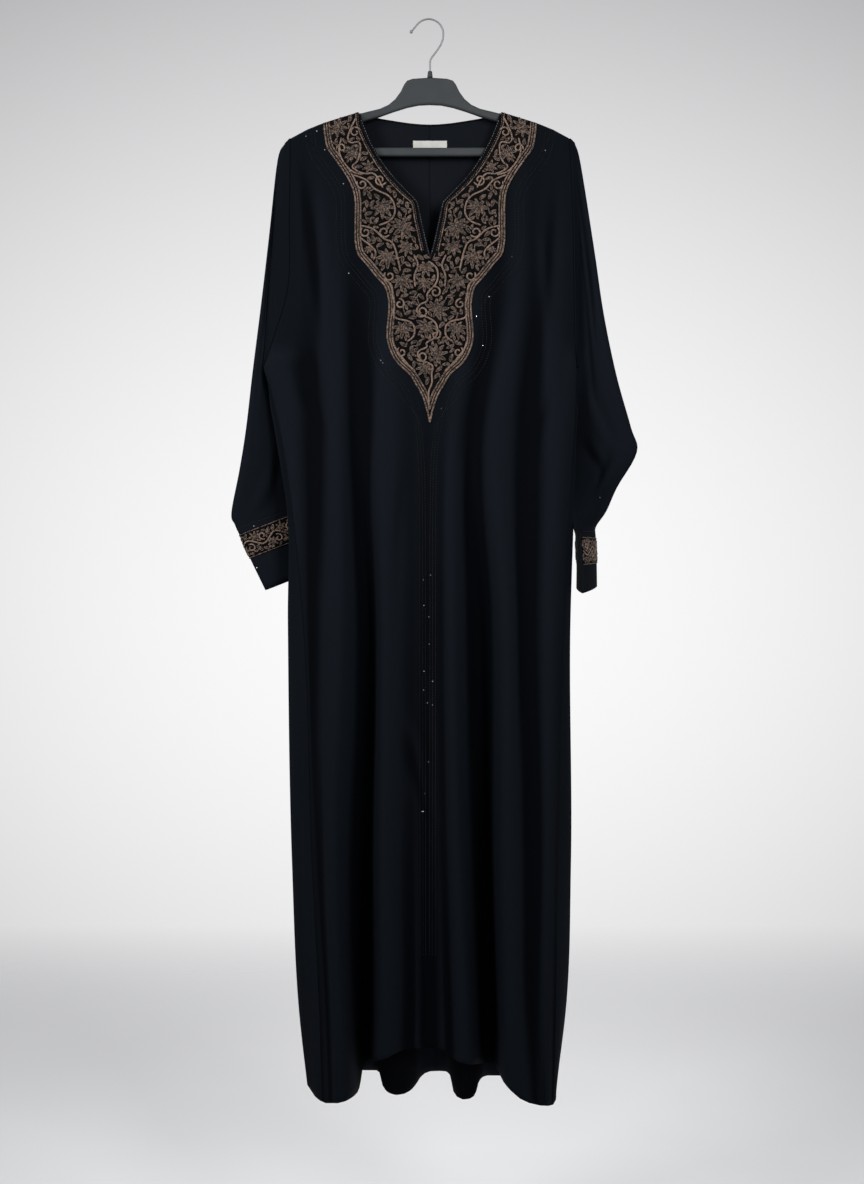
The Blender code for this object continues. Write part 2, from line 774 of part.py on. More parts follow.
def build_yoke():
    """Two legs from the shoulders that join below the slit, with the border raised in the outer points."""
    half = yoke_half()
    rows, columns = half.shape[:2]
    legs = len(YOKE_ON_SHOULDER) + len(YOKE_LEGS)
    shares = np.full((rows, columns), YOKE_FIELD_SHARE)
    shares[:, 1:3] = 1
    shares[:legs, -1] = YOKE_NECK_SHARE
    points, weights, faces, number = [], [], [], {}
    for side in (-1, 1):
        laid = laid_on(FRONT, half[..., 0] * side, half[..., 1], CLOTH / 2 + LAID_GAP)
        for row in range(rows):
            for column in range(columns):
                if side == 1 and row >= legs and column == columns - 1:
                    number[side, row, column] = number[-1, row, column]
                    continue
                number[side, row, column] = len(points)
                points.append(laid[row, column])
                weights.append(shares[row, column])
        for face in grid_faces(rows, columns, flip=side > 0):
            faces.append([number[side, index // columns, index % columns] for index in face])
    cloth_wall("yoke", np.array(points), faces, "embroidery", YOKE_THICKNESS, 1.0, weights)


def offset_line(line, across_sign):
    """The line's inner points moved into the neck opening by the binding's distance, mitred at corners."""
    flat = line[:, [0, 2]]
    steps = np.diff(flat, axis=0)
    steps /= np.linalg.norm(steps, axis=1, keepdims=True)
    sides = np.stack([steps[:, 1], -steps[:, 0]], axis=1) * across_sign
    moves = sides[:-1] + sides[1:]
    moves *= 2 / (moves**2).sum(axis=1, keepdims=True)
    moved = line[1:-1].copy()
    moved[:, [0, 2]] += moves * BINDING_FROM_EDGE
    return moved


def build_neck_binding(front_edge, back_edge):
    """A round bound edge along the front neck with its slit and along the back neck, in one closed loop."""
    front = offset_line(front_edge, 1)
    lowest = int(np.argmax(front[:, 2]))
    turn = []
    for beside in (lowest - 1, lowest + 1):
        share = BINDING_TURN / abs(front[beside, 0] - front[lowest, 0])
        turn.append(front[lowest] + (front[beside] - front[lowest]) * share)
    bottom = (turn[0] + turn[1]) / 2 + np.array([0, 0, BINDING_TURN * 0.8])
    back = offset_line(back_edge[::-1], -1)
    across, depth, drop = BINDING_AT_SHOULDER
    route = [
        np.array([-across, depth, drop]),
        *front[:lowest],
        turn[0],
        bottom,
        turn[1],
        *front[lowest + 1 :],
        np.array([across, depth, drop]),
        *back,
    ]
    poly_curve("neck_binding", route, BINDING_RADIUS, "binding", 1, closed=True)


def build_label():
    """The bare label and the small tab below it, on the inside of the back."""
    for name, width, top, bottom, steps in (
        ("label", LABEL_WIDTH, LABEL_TOP, LABEL_BOTTOM, LABEL_STEPS),
        ("size_tab", TAB_WIDTH, LABEL_BOTTOM + TAB_BELOW_LABEL, TAB_BOTTOM, TAB_STEPS),
    ):
        across, drop = np.meshgrid(np.linspace(-width / 2, width / 2, steps), np.linspace(top, bottom, 3))
        lift = -(CLOTH / 2 + LABEL_GAP + LABEL_THICKNESS / 2)
        points = laid_on(BACK, across, drop, lift)
        cloth_wall(name, points.reshape(-1, 3), grid_faces(3, steps), "label", LABEL_THICKNESS)


def poly_curve(name, route, radius, finish, sides, closed=False):
    """A round wire or bead along a route of (across, depth, drop) points."""
    data = bpy.data.curves.new(name, "CURVE")
    data.dimensions = "3D"
    data.bevel_depth = radius * MM
    data.bevel_resolution = sides
    data.use_fill_caps = not closed
    spline = data.splines.new("POLY")
    spline.points.add(len(route) - 1)
    for point, place in zip(spline.points, to_world(route)):
        point.co = (*place, 1)
    spline.use_cyclic_u = closed
    return add_object(name, data, finish)


def mirrored(half):
    """An outline's points from left to right, from its right half."""
    right = [(row.across, row.drop) for row in half]
    left = [(-x, drop) for x, drop in right if x > 0]
    return left[::-1] + right


def flat_outline(name, routes, half_depth, bevel, finish):
    """A flat moulding between two faces, with rounded edges, from its outline and its openings."""
    data = bpy.data.curves.new(name, "CURVE")
    data.dimensions = "2D"
    data.fill_mode = "BOTH"
    data.extrude = (half_depth - bevel) * MM
    data.bevel_depth = bevel * MM
    data.bevel_resolution = 1
    data.offset = -bevel * MM
    for route in routes:
        spline = data.splines.new("POLY")
        spline.points.add(len(route) - 1)
        for point, (across, drop) in zip(spline.points, route):
            point.co = (across * MM, -drop * MM, 0, 1)
        spline.use_cyclic_u = True
    made = add_object(name, data, finish)
    made.rotation_euler = (math.pi / 2, 0, 0)


def build_hanger():
    """Centre plate, sloping arms and bar as one moulding, with the long opening between them."""
    shoulder = [row for row in SHOULDER if NECK_POINT <= row.across < ARM_TIP]
    arm = [Edge(row.across, row.drop + ARM_BELOW_CLOTH) for row in shoulder]
    tip = float(on_edge(SHOULDER, ARM_TIP)) + ARM_BELOW_CLOTH
    end = [
        Edge(ARM_TIP, tip),
        Edge(ARM_TIP + 2, tip + 6),
        Edge(ARM_TIP + 2, BAR_BOTTOM - 7),
        Edge(ARM_TIP - 5, BAR_BOTTOM),
    ]
    outline = mirrored([*PLATE_FLANK, *arm, *end])
    inner_arm = [row for row in arm if NECK_POINT < row.across < BAR_HOLE_END]
    under = [Edge(row.across, row.drop + ARM_HEIGHT) for row in inner_arm]
    hole = mirrored([*HOLE_TOP, *under, Edge(BAR_HOLE_END, BAR_TOP - 8), Edge(BAR_HOLE_END, BAR_TOP)])
    flat_outline("hanger", (outline, hole), ARM_HALF_DEPTH, ARM_BEVEL, "plastic")


def turned_piece(name, finish, make):
    """A small turned piece, made round its own centre by one of the bmesh primitives."""
    mesh = bpy.data.meshes.new(name)
    build = bmesh.new()
    make(build)
    build.to_mesh(mesh)
    build.free()
    mesh.shade_smooth()
    return add_object(name, mesh, finish)


def build_hook():
    """The wire hook from its tip, over the crown and down to its collar, and the ball on its tip."""
    start, end, steps = HOOK_ARC
    route = [(HOOK_TIP.across, 0, HOOK_TIP.drop)]
    for step in range(steps + 1):
        angle = math.radians(start + (end - start) * step / steps)
        across = HOOK_CENTRE[0] + HOOK_RADIUS * math.cos(angle)
        route.append((across, 0, HOOK_CENTRE[1] - HOOK_RADIUS * math.sin(angle)))
    route.extend((row.across, 0, row.drop) for row in HOOK_LEG)
    poly_curve("hook", route, HOOK_WIRE, "steel", 2)
    ball = turned_piece(
        "hook_ball",
        "steel",
        lambda build: bmesh.ops.create_uvsphere(
            build, u_segments=12, v_segments=8, radius=BALL_RADIUS * MM
        ),
    )
    ball.location = to_world((BALL_CENTRE.across, 0, BALL_CENTRE.drop))
    collar = turned_piece(
        "hook_collar",
        "plastic",
        lambda build: bmesh.ops.create_cone(
            build,
            cap_ends=True,
            segments=20,
            radius1=COLLAR_RADII[1] * MM,
            radius2=COLLAR_RADII[0] * MM,
            depth=(COLLAR_BOTTOM - COLLAR_TOP) * MM,
        ),
    )
    collar.location = to_world((0, 0, (COLLAR_TOP + COLLAR_BOTTOM) / 2))


def main():
    """Every piece, in the order that it is sewn or hung."""
    clear_scene()
    garment = bpy.data.collections.new(COLLECTION)
    bpy.context.scene.collection.children.link(garment)
    armholes, front_neck, back_neck = build_body()
    build_sleeve("left", LEFT_RINGS, armholes["left"], -1)
    build_sleeve("right", RIGHT_RINGS, armholes["right"], 1)
    build_yoke()
    build_neck_binding(front_neck, back_neck)
    build_label()
    build_hanger()
    build_hook()


main()
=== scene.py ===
# %% [markdown]
# # A long black jilbab on its hanger
# The garment is black crepe with bronze cord embroidery at the neck and cuffs. Its true shape is already
# in the CAD frame, as solids of a few big faces. This lesson lays finer cloth on the same folds, sews the
# embroidery on it, and gives each surface the finish of the real one.
# All tables are in millimetres. "across" is X, "depth" is Y with the viewer at the negative end, and "drop"
# is how far a point lies below the origin, which is where the hook hangs.

import math
from collections import namedtuple

import bpy
import numpy as np
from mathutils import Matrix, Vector


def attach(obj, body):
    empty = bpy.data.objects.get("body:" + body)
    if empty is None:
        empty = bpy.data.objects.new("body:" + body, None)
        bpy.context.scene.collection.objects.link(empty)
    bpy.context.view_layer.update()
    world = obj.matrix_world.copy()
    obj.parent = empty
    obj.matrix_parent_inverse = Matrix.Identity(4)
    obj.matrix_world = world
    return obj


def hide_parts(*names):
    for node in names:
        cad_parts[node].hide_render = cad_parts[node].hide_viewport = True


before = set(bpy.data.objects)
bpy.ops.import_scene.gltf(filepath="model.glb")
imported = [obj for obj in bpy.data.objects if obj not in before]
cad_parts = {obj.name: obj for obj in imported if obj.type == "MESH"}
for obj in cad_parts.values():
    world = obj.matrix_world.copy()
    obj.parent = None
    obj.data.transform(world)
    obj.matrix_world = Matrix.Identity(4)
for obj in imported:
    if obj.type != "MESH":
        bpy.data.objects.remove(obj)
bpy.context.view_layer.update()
MM = 0.001
print("nodes in the frame:", ", ".join(sorted(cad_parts)))

# %% [markdown]
# ## Shader maths as Python
# A material changes over a surface by joining nodes. Wiring each Math node by hand hides the idea, so one
# small class wraps a socket and turns +, -, * and / into Math nodes. A second class stands for the board
# that the nodes lie on, and one method of it adds any other node. Materials and the sky share both.


# %% A socket that can be used in an expression
class Wire:
    """One output socket, and the board that it lies on."""

    def __init__(self, board, output):
        self.board, self.output = board, output

    def __add__(self, other):
        return self.board.maths("ADD", self, other)

    def __sub__(self, other):
        return self.board.maths("SUBTRACT", self, other)

    def __rsub__(self, other):
        return self.board.maths("SUBTRACT", other, self)

    def __mul__(self, other):
        return self.board.maths("MULTIPLY", self, other)

    __radd__ = __add__
    __rmul__ = __mul__


# %% A board of nodes
class Board:
    """A node tree, and the one method that adds nodes to it."""

    def __init__(self, tree):
        self.tree = tree

    def feed(self, node, values):
        """Sets a node's sockets to values, or links them to wires."""
        for key, value in values.items():
            if isinstance(value, Wire):
                self.tree.links.new(value.output, node.inputs[key])
            else:
                node.inputs[key].default_value = value

    def node(self, kind, settings, values, output=0):
        made = self.tree.nodes.new("ShaderNode" + kind)
        for key, value in settings.items():
            if key == "stops":
                ramp = made.color_ramp.elements
                for index, (place, colour) in enumerate(value):
                    stop = ramp[index] if index < 2 else ramp.new(place)
                    stop.position = place
                    stop.color = (*colour, 1)
            else:
                setattr(made, key, value)
        self.feed(made, values)
        return Wire(self, made.outputs[output])

    def maths(self, operation, *values):
        return self.node("Math", {"operation": operation}, dict(enumerate(values)))

    def split(self, vector):
        """The three parts of a vector."""
        first = self.node("SeparateXYZ", {}, {0: vector})
        return [Wire(self, socket) for socket in first.output.node.outputs]

    def blend(self, share, first, second):
        """A colour between two others."""
        return self.node("Mix", {"data_type": "RGBA"}, {0: share, 6: first, 7: second}, 2)

    def ramp(self, share, stops):
        return self.node("ValToRGB", {"stops": stops}, {0: share})


# %% A material on its board
class Finish(Board):
    """A material, with the few kinds of node that the garment's surfaces use."""

    def __init__(self, name, **values):
        self.material = bpy.data.materials.new(name)
        self.material.use_nodes = True
        super().__init__(self.material.node_tree)
        self.shader = self.tree.nodes["Principled BSDF"]
        self.shade(**values)

    def place(self):
        """Where a point of the surface lies, in metres."""
        return self.node("TexCoord", {}, {}, "Object")

    def stretched(self, scale):
        """The place, drawn out along the axes whose scale is small."""
        return self.node("VectorMath", {"operation": "MULTIPLY"}, {0: self.place(), 1: scale})

    def noise(self, vector, scale, detail=3.0, roughness=0.55):
        values = {"Vector": vector, "Scale": scale, "Detail": detail, "Roughness": roughness}
        return self.node("TexNoise", {}, values)

    def bumped(self, height, distance, strength=1.0):
        values = {"Height": height, "Distance": distance, "Strength": strength}
        return self.node("Bump", {}, values)

    def shade(self, **values):
        """Feeds the shader's own sockets, and gives the material."""
        self.feed(self.shader, {key.replace("_", " "): value for key, value in values.items()})
        return self.material


# %% [markdown]
# ## The crepe
# Crepe is woven from tightly twisted yarn, so its face is finely pebbled and nearly without shine. The
# pebbles are about a millimetre across, which is too small for the mesh: two noises drawn out a little
# along the warp make them, as bump. Each point of the cloth carries how far it stands out from its
# surroundings, and the colour follows it as painted shade and painted light: darkest in the folds and
# lighter where the cloth bulges. A slow noise varies that a little, and there is no sheen, because the
# photograph shows almost none.


# %% Black crepe
# How much lighter than level cloth the ridges are painted: painted light.
RIDGE_LIGHTER = 1.7


def crepe(name, plain, deep):
    """plain is the colour of level cloth, and deep the painted shade at the bottom of a fold."""
    finish = Finish(name, Specular_IOR_Level=0.03)
    ridge = finish.split(finish.node("UVMap", {"uv_map": "folds"}, {}))[0]
    pebbles = finish.noise(finish.stretched((1.0, 1.0, 0.55)), 1500, 2.0)
    yarns = finish.noise(finish.stretched((1.0, 1.0, 0.12)), 620, 2.0)
    cloud = finish.noise(finish.place(), 7.0, 4.0)
    grain = pebbles * 0.65 + yarns * 0.35
    # Painted light on the ridges and painted shade in the folds, read from the fold mark with a slow noise.
    painted_ridge_light = [RIDGE_LIGHTER * part for part in plain]
    tint = finish.ramp(ridge + cloud * 0.16 - 0.08, [(0.10, deep), (0.5, plain), (0.92, painted_ridge_light)])
    colour = finish.blend(grain * 0.5, tint, (*deep, 1))
    return finish.shade(
        Base_Color=colour,
        Roughness=grain * 0.12 + 0.80,
        Normal=finish.bumped(grain, 0.00035, 0.55),
    )


CREPE = crepe("black_crepe", (0.0034, 0.0046, 0.0066), (0.0009, 0.0014, 0.0024))
CREPE_INSIDE = crepe("crepe_wrong_side", (0.0058, 0.0070, 0.0095), (0.0016, 0.0020, 0.0032))
print("crepe nodes:", len(CREPE.node_tree.nodes))

# %% [markdown]
# ## The folds
# The body hangs as one closed loop of folds. Each row of a table names a fold and says where it lies at
# seven drops, from the shoulders to the hem. A round curve through the folds at any one drop is the
# section of the garment there, and smooth lines join the sections. The same tables shaped the solids, so
# the finer cloth lies exactly on them.

# %% Edges of the body
# Drops and distances: the underarm, the neck's end of the shoulder, how far the cloth rolls over the
# shoulder, and how far each edge is drawn back from its seam.
UNDERARM = 522.0
NECK_POINT = 109.0
ROLL = 9.5
DRAWN_IN = 0.22
SHOULDER = np.array(
    [(0, 121), (60, 127), (109, 140), (143, 150.5), (163, 157), (184, 165.5), (208, 178.5), (230, 196)], float
)
FRONT_NECK = np.array(
    [(0, 363), (4.5, 349), (9, 330), (15, 303), (20, 278), (34, 264), (52, 246), (66, 229), (79, 209)]
    + [(91, 186), (100, 164), (106.9, 143.9), (109, 140)],
    float,
)
BACK_NECK = np.array([(0, 155.6), (12, 155.3), (30, 153.8), (50, 151), (75, 147), (98, 141.4), (109, 140)], float)
Side = namedtuple("Side", "drop edge_across edge_depth turn_across turn_depth")
LEFT_SIDE = (
    Side(178, -208, -9.5, -190, 9.5),
    Side(290, -209.5, -9.5, -191, 10),
    Side(420, -215, -9, -196, 11),
    Side(480, -234, -6.5, -216, 9),
    Side(522, -247.5, 0, -244, 5.5),
    Side(560, -238, -3, -241, 3.5),
    Side(625, -223, -6, -230, 2),
    Side(745, -204, -15, -213, -1),
    Side(900, -188, -25, -212, -4),
    Side(1265, -172, -45, -205, -12),
    Side(1480, -160, -58, -193, -22),
    Side(1600, -156, -66, -177, -36),
)
RIGHT_SIDE = (
    Side(178, 208, -9.5, 190, 9.5),
    Side(290, 213, -9.5, 193, 10),
    Side(420, 215.5, -9, 197, 11),
    Side(480, 217, -6.5, 201, 9),
    Side(522, 219, 0, 216, 5.5),
    Side(560, 219, -3, 221.5, 3.5),
    Side(625, 215, -6, 219, 2),
    Side(745, 207, -15, 215.3, 1),
    Side(900, 198, -25, 210.5, 2),
    Side(1265, 186.5, -42, 211, 0),
    Side(1480, 183, -50, 203, -6),
    Side(1600, 179.5, -52, 187, -14),
)

# %% Folds of the body
Fold = namedtuple("Fold", "name across depth hem")
FOLD_DROPS = (185, 420, 625, 900, 1265, 1480, 1600)
FRONT_FOLDS = (
    Fold("left_hollow", (-190, -188, -172, -178, -163, -150, -145), (-9.5, -11, -14, -27, -50, -66, -76), 1594),
    Fold("left_ridge", (-148, -137, -135, -132, -145, -136, -132), (-9.5, -16, -28, -50, -70, -80, -85), 1595),
    Fold("left_valley", (-109, -117, -108, -90, -97, -98, -97), (-9.5, -13, -13, -8, 0, 6, 10), 1566),
    Fold("left_inner_ridge", (-66, -60, -72, -67, -67, -65, -74), (-10.5, -17, -26, -45, -60, -66, -68), 1539),
    Fold("notch_left", (-20, -20, -25, -24, -24, -23, -26), (-11.5, -16, -22, -31, -39, -43, -46), 1533),
    Fold("centre", (0, 0, -4, -4, -4, -4, -4), (-12, -15.5, -20, -25, -30, -33, -35), 1532),
    Fold("notch_right", (20, 20, 14, 13, 17, 22, 26), (-11.5, -16, -22.5, -31, -41, -45, -48), 1534),
    Fold("right_inner_ridge", (66, 60, 33, 29, 36.5, 46, 53), (-10.5, -17, -26, -45, -60, -66, -68), 1541),
    Fold("right_valley", (109, 100, 64, 74, 81, 87, 88), (-9.5, -13, -14, -8, 2, 8, 10), 1566),
    Fold("right_ridge", (135, 128, 97, 112, 113, 122, 130), (-9.5, -17, -28, -50, -70, -80, -85), 1590),
    Fold("right_hollow", (160, 156, 147, 146, 156, 152, 154), (-9.5, -12, -15, -33, -53, -66, -74), 1601),
    Fold("right_outer_ridge", (190, 188, 192, 180, 174, 168, 168), (-9.5, -13.5, -21, -39, -56, -66, -68), 1607),
)
BACK_FOLDS = (
    Fold("left_far", (-109, -130, -150, -140, -130, -122, -118), (9.5, 14, 21, 32, 46, 58, 64), 1604),
    Fold("left_near", (-55, -60, -62, -60, -55, -52, -50), (10.5, 11.5, 11, 9, 8, 6, 5), 1617),
    Fold("centre_back", (0, 0, 0, -2, 4, 8, 9), (11, 15, 25, 40, 54, 62, 66), 1606),
    Fold("right_near", (55, 60, 60, 56, 54, 53, 52), (10.5, 11.5, 11, 9, 8, 6, 5), 1620),
    Fold("right_far", (109, 128, 135, 126, 118, 114, 110), (9.5, 14, 22, 38, 54, 64, 70), 1610),
)
SEAM_HEMS = (1592, 1612)
TURN_HEMS = (1600, 1618)
print("folds:", len(FRONT_FOLDS), "in front and", len(BACK_FOLDS), "behind")

# %% [markdown]
# ## Smaller creases
# Cloth that hangs from a narrow hanger never falls in clean pleats only. Small troughs and ridges start
# at the shoulders, at the underarms and where the hem swings. Each is listed as a soft line with a width
# and a height, and fades out at both ends. Simulation was the other way, but it would move the big
# folds away from the photograph.

# %% Tables of creases
Crease = namedtuple("Crease", "drops acrosses width height")
FRONT_CREASES = (
    Crease((170, 330, 560), (-196, -176, -150), 9, -2.6),
    Crease((200, 400, 620), (-168, -158, -163), 8, 2.2),
    Crease((200, 380, 560), (188, 176, 166), 9, -2.4),
    Crease((260, 420, 640), (158, 172, 176), 8, 2.0),
    Crease((430, 600, 860), (-92, -88, -118), 10, -2.6),
    Crease((500, 700, 960), (84, 48, 56), 9, 2.2),
    Crease((620, 800, 1010), (-40, -52, -48), 8, -2.2),
    Crease((700, 900, 1150), (128, 134, 132), 9, -2.6),
    Crease((760, 980, 1240), (-158, -154, -160), 9, 2.8),
    Crease((880, 1100, 1330), (-12, 6, 2), 10, 2.2),
    Crease((1010, 1080, 1190), (-52, -20, 8), 9, 2.0),
    Crease((1060, 1160, 1250), (-46, -12, 22), 8, -1.8),
    Crease((1120, 1330, 1600), (-114, -118, -113), 7, -3.0),
    Crease((1150, 1380, 1600), (96, 101, 108), 7, 3.0),
    Crease((1200, 1400, 1590), (-84, -82, -86), 6, 2.4),
    Crease((1240, 1420, 1600), (60, 64, 70), 7, -2.4),
    Crease((1330, 1470, 1600), (150, 142, 144), 7, 2.2),
    Crease((540, 580, 650), (-212, -176, -150), 9, -2.2),
    Crease((545, 590, 670), (204, 172, 150), 9, -2.2),
)
BACK_CREASES = (
    Crease((180, 360, 600), (-178, -160, -168), 9, -2.6),
    Crease((180, 380, 640), (176, 164, 170), 9, -2.6),
    Crease((200, 420, 700), (-86, -92, -104), 10, 2.4),
    Crease((220, 460, 720), (82, 92, 98), 10, 2.4),
    Crease((600, 800, 1060), (-30, -34, -32), 9, 2.2),
    Crease((640, 860, 1120), (30, 26, 30), 9, -2.0),
    Crease((900, 1200, 1600), (-92, -84, -80), 8, -2.8),
    Crease((940, 1240, 1600), (88, 84, 80), 8, 2.6),
    Crease((1150, 1380, 1600), (-150, -146, -142), 7, 2.4),
    Crease((1180, 1400, 1600), (142, 138, 136), 7, -2.4),
    Crease((1300, 1450, 1600), (-20, -14, -16), 7, 2.0),
)
print("creases:", len(FRONT_CREASES), "in front and", len(BACK_CREASES), "behind")


# %% A smooth line through a table, and the shape of one crease
CREASE_AT_HEM = 1590


def smooth_between(stops, values, at):
    """Values at any stop, on a smooth line through a table's rows."""
    stops, values = np.asarray(stops, float), np.asarray(values, float)
    at = np.clip(np.asarray(at, float), stops[0], stops[-1])
    steps = np.diff(stops)
    rates = np.diff(values, axis=0) / steps[:, None]
    slopes = np.empty_like(values)
    slopes[0], slopes[-1] = rates[0], rates[-1]
    share = (steps[1:] / (steps[1:] + steps[:-1]))[:, None]
    slopes[1:-1] = rates[:-1] * share + rates[1:] * (1 - share)
    row = np.clip(np.searchsorted(stops, at, side="right") - 1, 0, len(steps) - 1)
    step = steps[row][..., None]
    w = (at - stops[row])[..., None] / step
    return (
        (1 + 2 * w) * (1 - w) ** 2 * values[row]
        + w * (1 - w) ** 2 * step * slopes[row]
        + w**2 * (3 - 2 * w) * values[row + 1]
        + w**2 * (w - 1) * step * slopes[row + 1]
    )


def crease_height(creases, across, drop):
    """How far all the creases together raise the cloth at each point."""
    height = np.zeros(np.broadcast(across, drop).shape)
    for crease in creases:
        first, _, last = crease.drops
        line = smooth_between(crease.drops, np.reshape(crease.acrosses, (-1, 1)), drop)[..., 0]
        open_end = last >= CREASE_AT_HEM
        share = np.clip((drop - first) / (last - first), 0, 1)
        fade = np.sin(share * (math.pi / 2 if open_end else math.pi)) ** 2
        fade = fade * ((drop > first) & ((drop < last) | open_end))
        height += crease.height * fade * np.exp(-(((across - line) / crease.width) ** 2))
    return height


# %% Sections of the body
def curve_point(before, start, end, after, share):
    """A point between start and end on the round curve through four fold points."""
    lengths = [
        np.maximum(np.linalg.norm(b - a, axis=-1, keepdims=True), 1e-6)
        for a, b in ((before, start), (start, end), (end, after))
    ]
    rates = [(b - a) / n for (a, b), n in zip(((before, start), (start, end), (end, after)), lengths)]
    leave = (rates[0] * lengths[1] + rates[1] * lengths[0]) / (lengths[0] + lengths[1])
    arrive = (rates[1] * lengths[2] + rates[2] * lengths[1]) / (lengths[1] + lengths[2])
    w = share[..., None]
    return (
        (1 + 2 * w) * (1 - w) ** 2 * start
        + w * (1 - w) ** 2 * lengths[1] * leave
        + w**2 * (3 - 2 * w) * end
        + w**2 * (w - 1) * lengths[1] * arrive
    )


def side_points(side, drop):
    """The edge of the front and the turn of the back at each drop."""
    rows = smooth_between([row.drop for row in side], [row[1:] for row in side], drop)
    return rows[..., :2], rows[..., 2:]


def fold_points(fold, drop):
    return smooth_between(FOLD_DROPS, np.transpose([fold.across, fold.depth]), drop)


def knots_of(front, drop):
    """The fold points of the front or the back at each drop, with one more beyond each edge."""
    closing = np.clip((drop - UNDERARM) / 50 + 1, 0, 1)[..., None]
    closing = closing * closing * (3 - 2 * closing)
    left, left_turn = side_points(LEFT_SIDE, drop)
    right, right_turn = side_points(RIGHT_SIDE, drop)
    if front:
        inner = [fold_points(fold, drop) for fold in FRONT_FOLDS]
        before = left_turn * closing + (2 * left - inner[0]) * (1 - closing)
        after = right_turn * closing + (2 * right - inner[-1]) * (1 - closing)
        return np.stack([before, left, *inner, right, after])
    flip = np.stack([np.ones_like(drop), np.where(drop < UNDERARM, -1.0, 1.0)], axis=-1)
    left, right = left * flip, right * flip
    inner = [fold_points(fold, drop) for fold in BACK_FOLDS]
    before = fold_points(FRONT_FOLDS[0], drop) * closing + (2 * left - left_turn) * (1 - closing)
    after = fold_points(FRONT_FOLDS[-1], drop) * closing + (2 * right - right_turn) * (1 - closing)
    return np.stack([before, left, left_turn, *inner, right_turn, right, after])


# %% Points of the cloth
# Below this drop the flanks of the folds grow steeper, over this length, by this share.
HEM_BEGINS, HEM_SWING, HEM_STEEP = 1150.0, 380.0, 0.85
CREASE_FREE_EDGE = 0.6
CREASE_FREE_SHOULDER = 60


def on_edge(edge, across):
    return np.interp(np.abs(across), edge[:, 0], edge[:, 1])


def steeper(share):
    return share * share * (3 - 2 * share)


def body_points(front, place, drop):
    """Points of the cloth as across, depth and drop. place counts folds from the left edge."""
    place, drop = np.broadcast_arrays(np.asarray(place, float), np.asarray(drop, float))
    knots = knots_of(front, drop)
    fold = np.clip(np.floor(place).astype(int), 0, len(knots) - 4)
    four = [np.take_along_axis(knots, (fold + i)[None, ..., None], axis=0)[0] for i in range(4)]
    share = place - fold
    flare = HEM_STEEP * np.clip((drop - HEM_BEGINS) / HEM_SWING, 0, 1)
    across = curve_point(*four, share)[..., 0]
    depth = curve_point(*four, share + flare * (steeper(share) - share))[..., 1]
    facing = -1 if front else 1
    last = len(knots) - 3
    inside = np.clip(np.minimum(place, last - place) / CREASE_FREE_EDGE, 0, 1)
    raised = crease_height(FRONT_CREASES if front else BACK_CREASES, across, drop) * inside
    from_shoulder = drop - on_edge(SHOULDER, across)
    depth = depth + facing * raised * np.clip(from_shoulder / CREASE_FREE_SHOULDER, 0, 1)
    below = np.clip(from_shoulder / ROLL, 0, 1)
    depth = depth * np.sqrt(1 - (1 - below) ** 2) + facing * DRAWN_IN
    return np.stack([across, depth, drop], axis=-1)


# %% [markdown]
# ## From points to cloth
# A panel is a grid of points: columns follow the folds down, and rows cross them. The first rows are close
# together, because the cloth rolls over the hanger there. Solidify then gives the sheet its thickness, so
# that the hem, the neck and the cuffs have real edges.

# %% Rows of a panel
CLOTH = 1.1
CENTRE_BACK = 4
ROLL_END, ROLL_STEPS = 0.0276, 7
ROLL_SHARES = [ROLL_END * (1 - math.cos(math.pi / 2 * step / ROLL_STEPS)) for step in range(ROLL_STEPS)]
UPPER_ROWS = np.array([*ROLL_SHARES, *np.linspace(ROLL_END, 1, 44)])
LOWER_ROWS = np.linspace(0, 1, 106)[1:]
print("rows of a panel:", len(UPPER_ROWS) + len(LOWER_ROWS))


# %% Grids and their faces
def to_world(points):
    points = np.asarray(points, float)
    return np.stack([points[..., 0], points[..., 1], -points[..., 2]], axis=-1) * MM


def grid_faces(rows, columns, around=False, flip=False):
    """Four-sided faces of a grid whose points are numbered row by row."""
    row, column = np.meshgrid(np.arange(rows - 1), np.arange(columns if around else columns - 1), indexing="ij")
    beside = (column + 1) % columns
    corners = [row * columns + column, (row + 1) * columns + column, (row + 1) * columns + beside]
    faces = np.stack([*corners, row * columns + beside], axis=-1).reshape(-1, 4)
    return faces[:, ::-1] if flip else faces


def capped_faces(rows, sides):
    """Faces of a tube of so many rings, closed at both ends."""
    end = rows * sides
    return [*grid_faces(rows, sides, around=True), np.arange(sides), np.arange(end - 1, end - sides - 1, -1)]


def loop_faces(rows, sides):
    """Faces of a tube whose last ring joins its first."""
    return grid_faces(rows + 1, sides, around=True) % (rows * sides)


# %% Marks that the cloth carries
FOLD_REACHES = (2, 4, 7)
FOLD_DEPTH = 2.4
FOLD_MARGIN = 8


def standing_out(grid, outward, around=False):
    """How far each point of a cloth stands out of its surroundings: 1 on a sharp ridge, 0 in a deep fold."""
    margin = ((0, 0), (FOLD_MARGIN, FOLD_MARGIN), (0, 0))
    wide = np.pad(grid, margin, "wrap" if around else "edge")
    beside, down = np.gradient(wide, axis=1), np.gradient(wide, axis=0)
    normal = np.cross(beside, down) * outward
    normal /= np.maximum(np.linalg.norm(normal, axis=-1, keepdims=True), 1e-9)
    height = 0
    for reach in FOLD_REACHES:
        mean = (np.roll(wide, reach, axis=1) + np.roll(wide, -reach, axis=1)) / 2
        height = height + ((wide - mean) * normal).sum(axis=-1) / reach**0.5
    share = 0.5 + 0.5 * np.tanh(height[:, FOLD_MARGIN:-FOLD_MARGIN] / FOLD_DEPTH)
    for _ in range(2):
        share[1:-1] = (share[:-2] + 2 * share[1:-1] + share[2:]) / 4
    return share


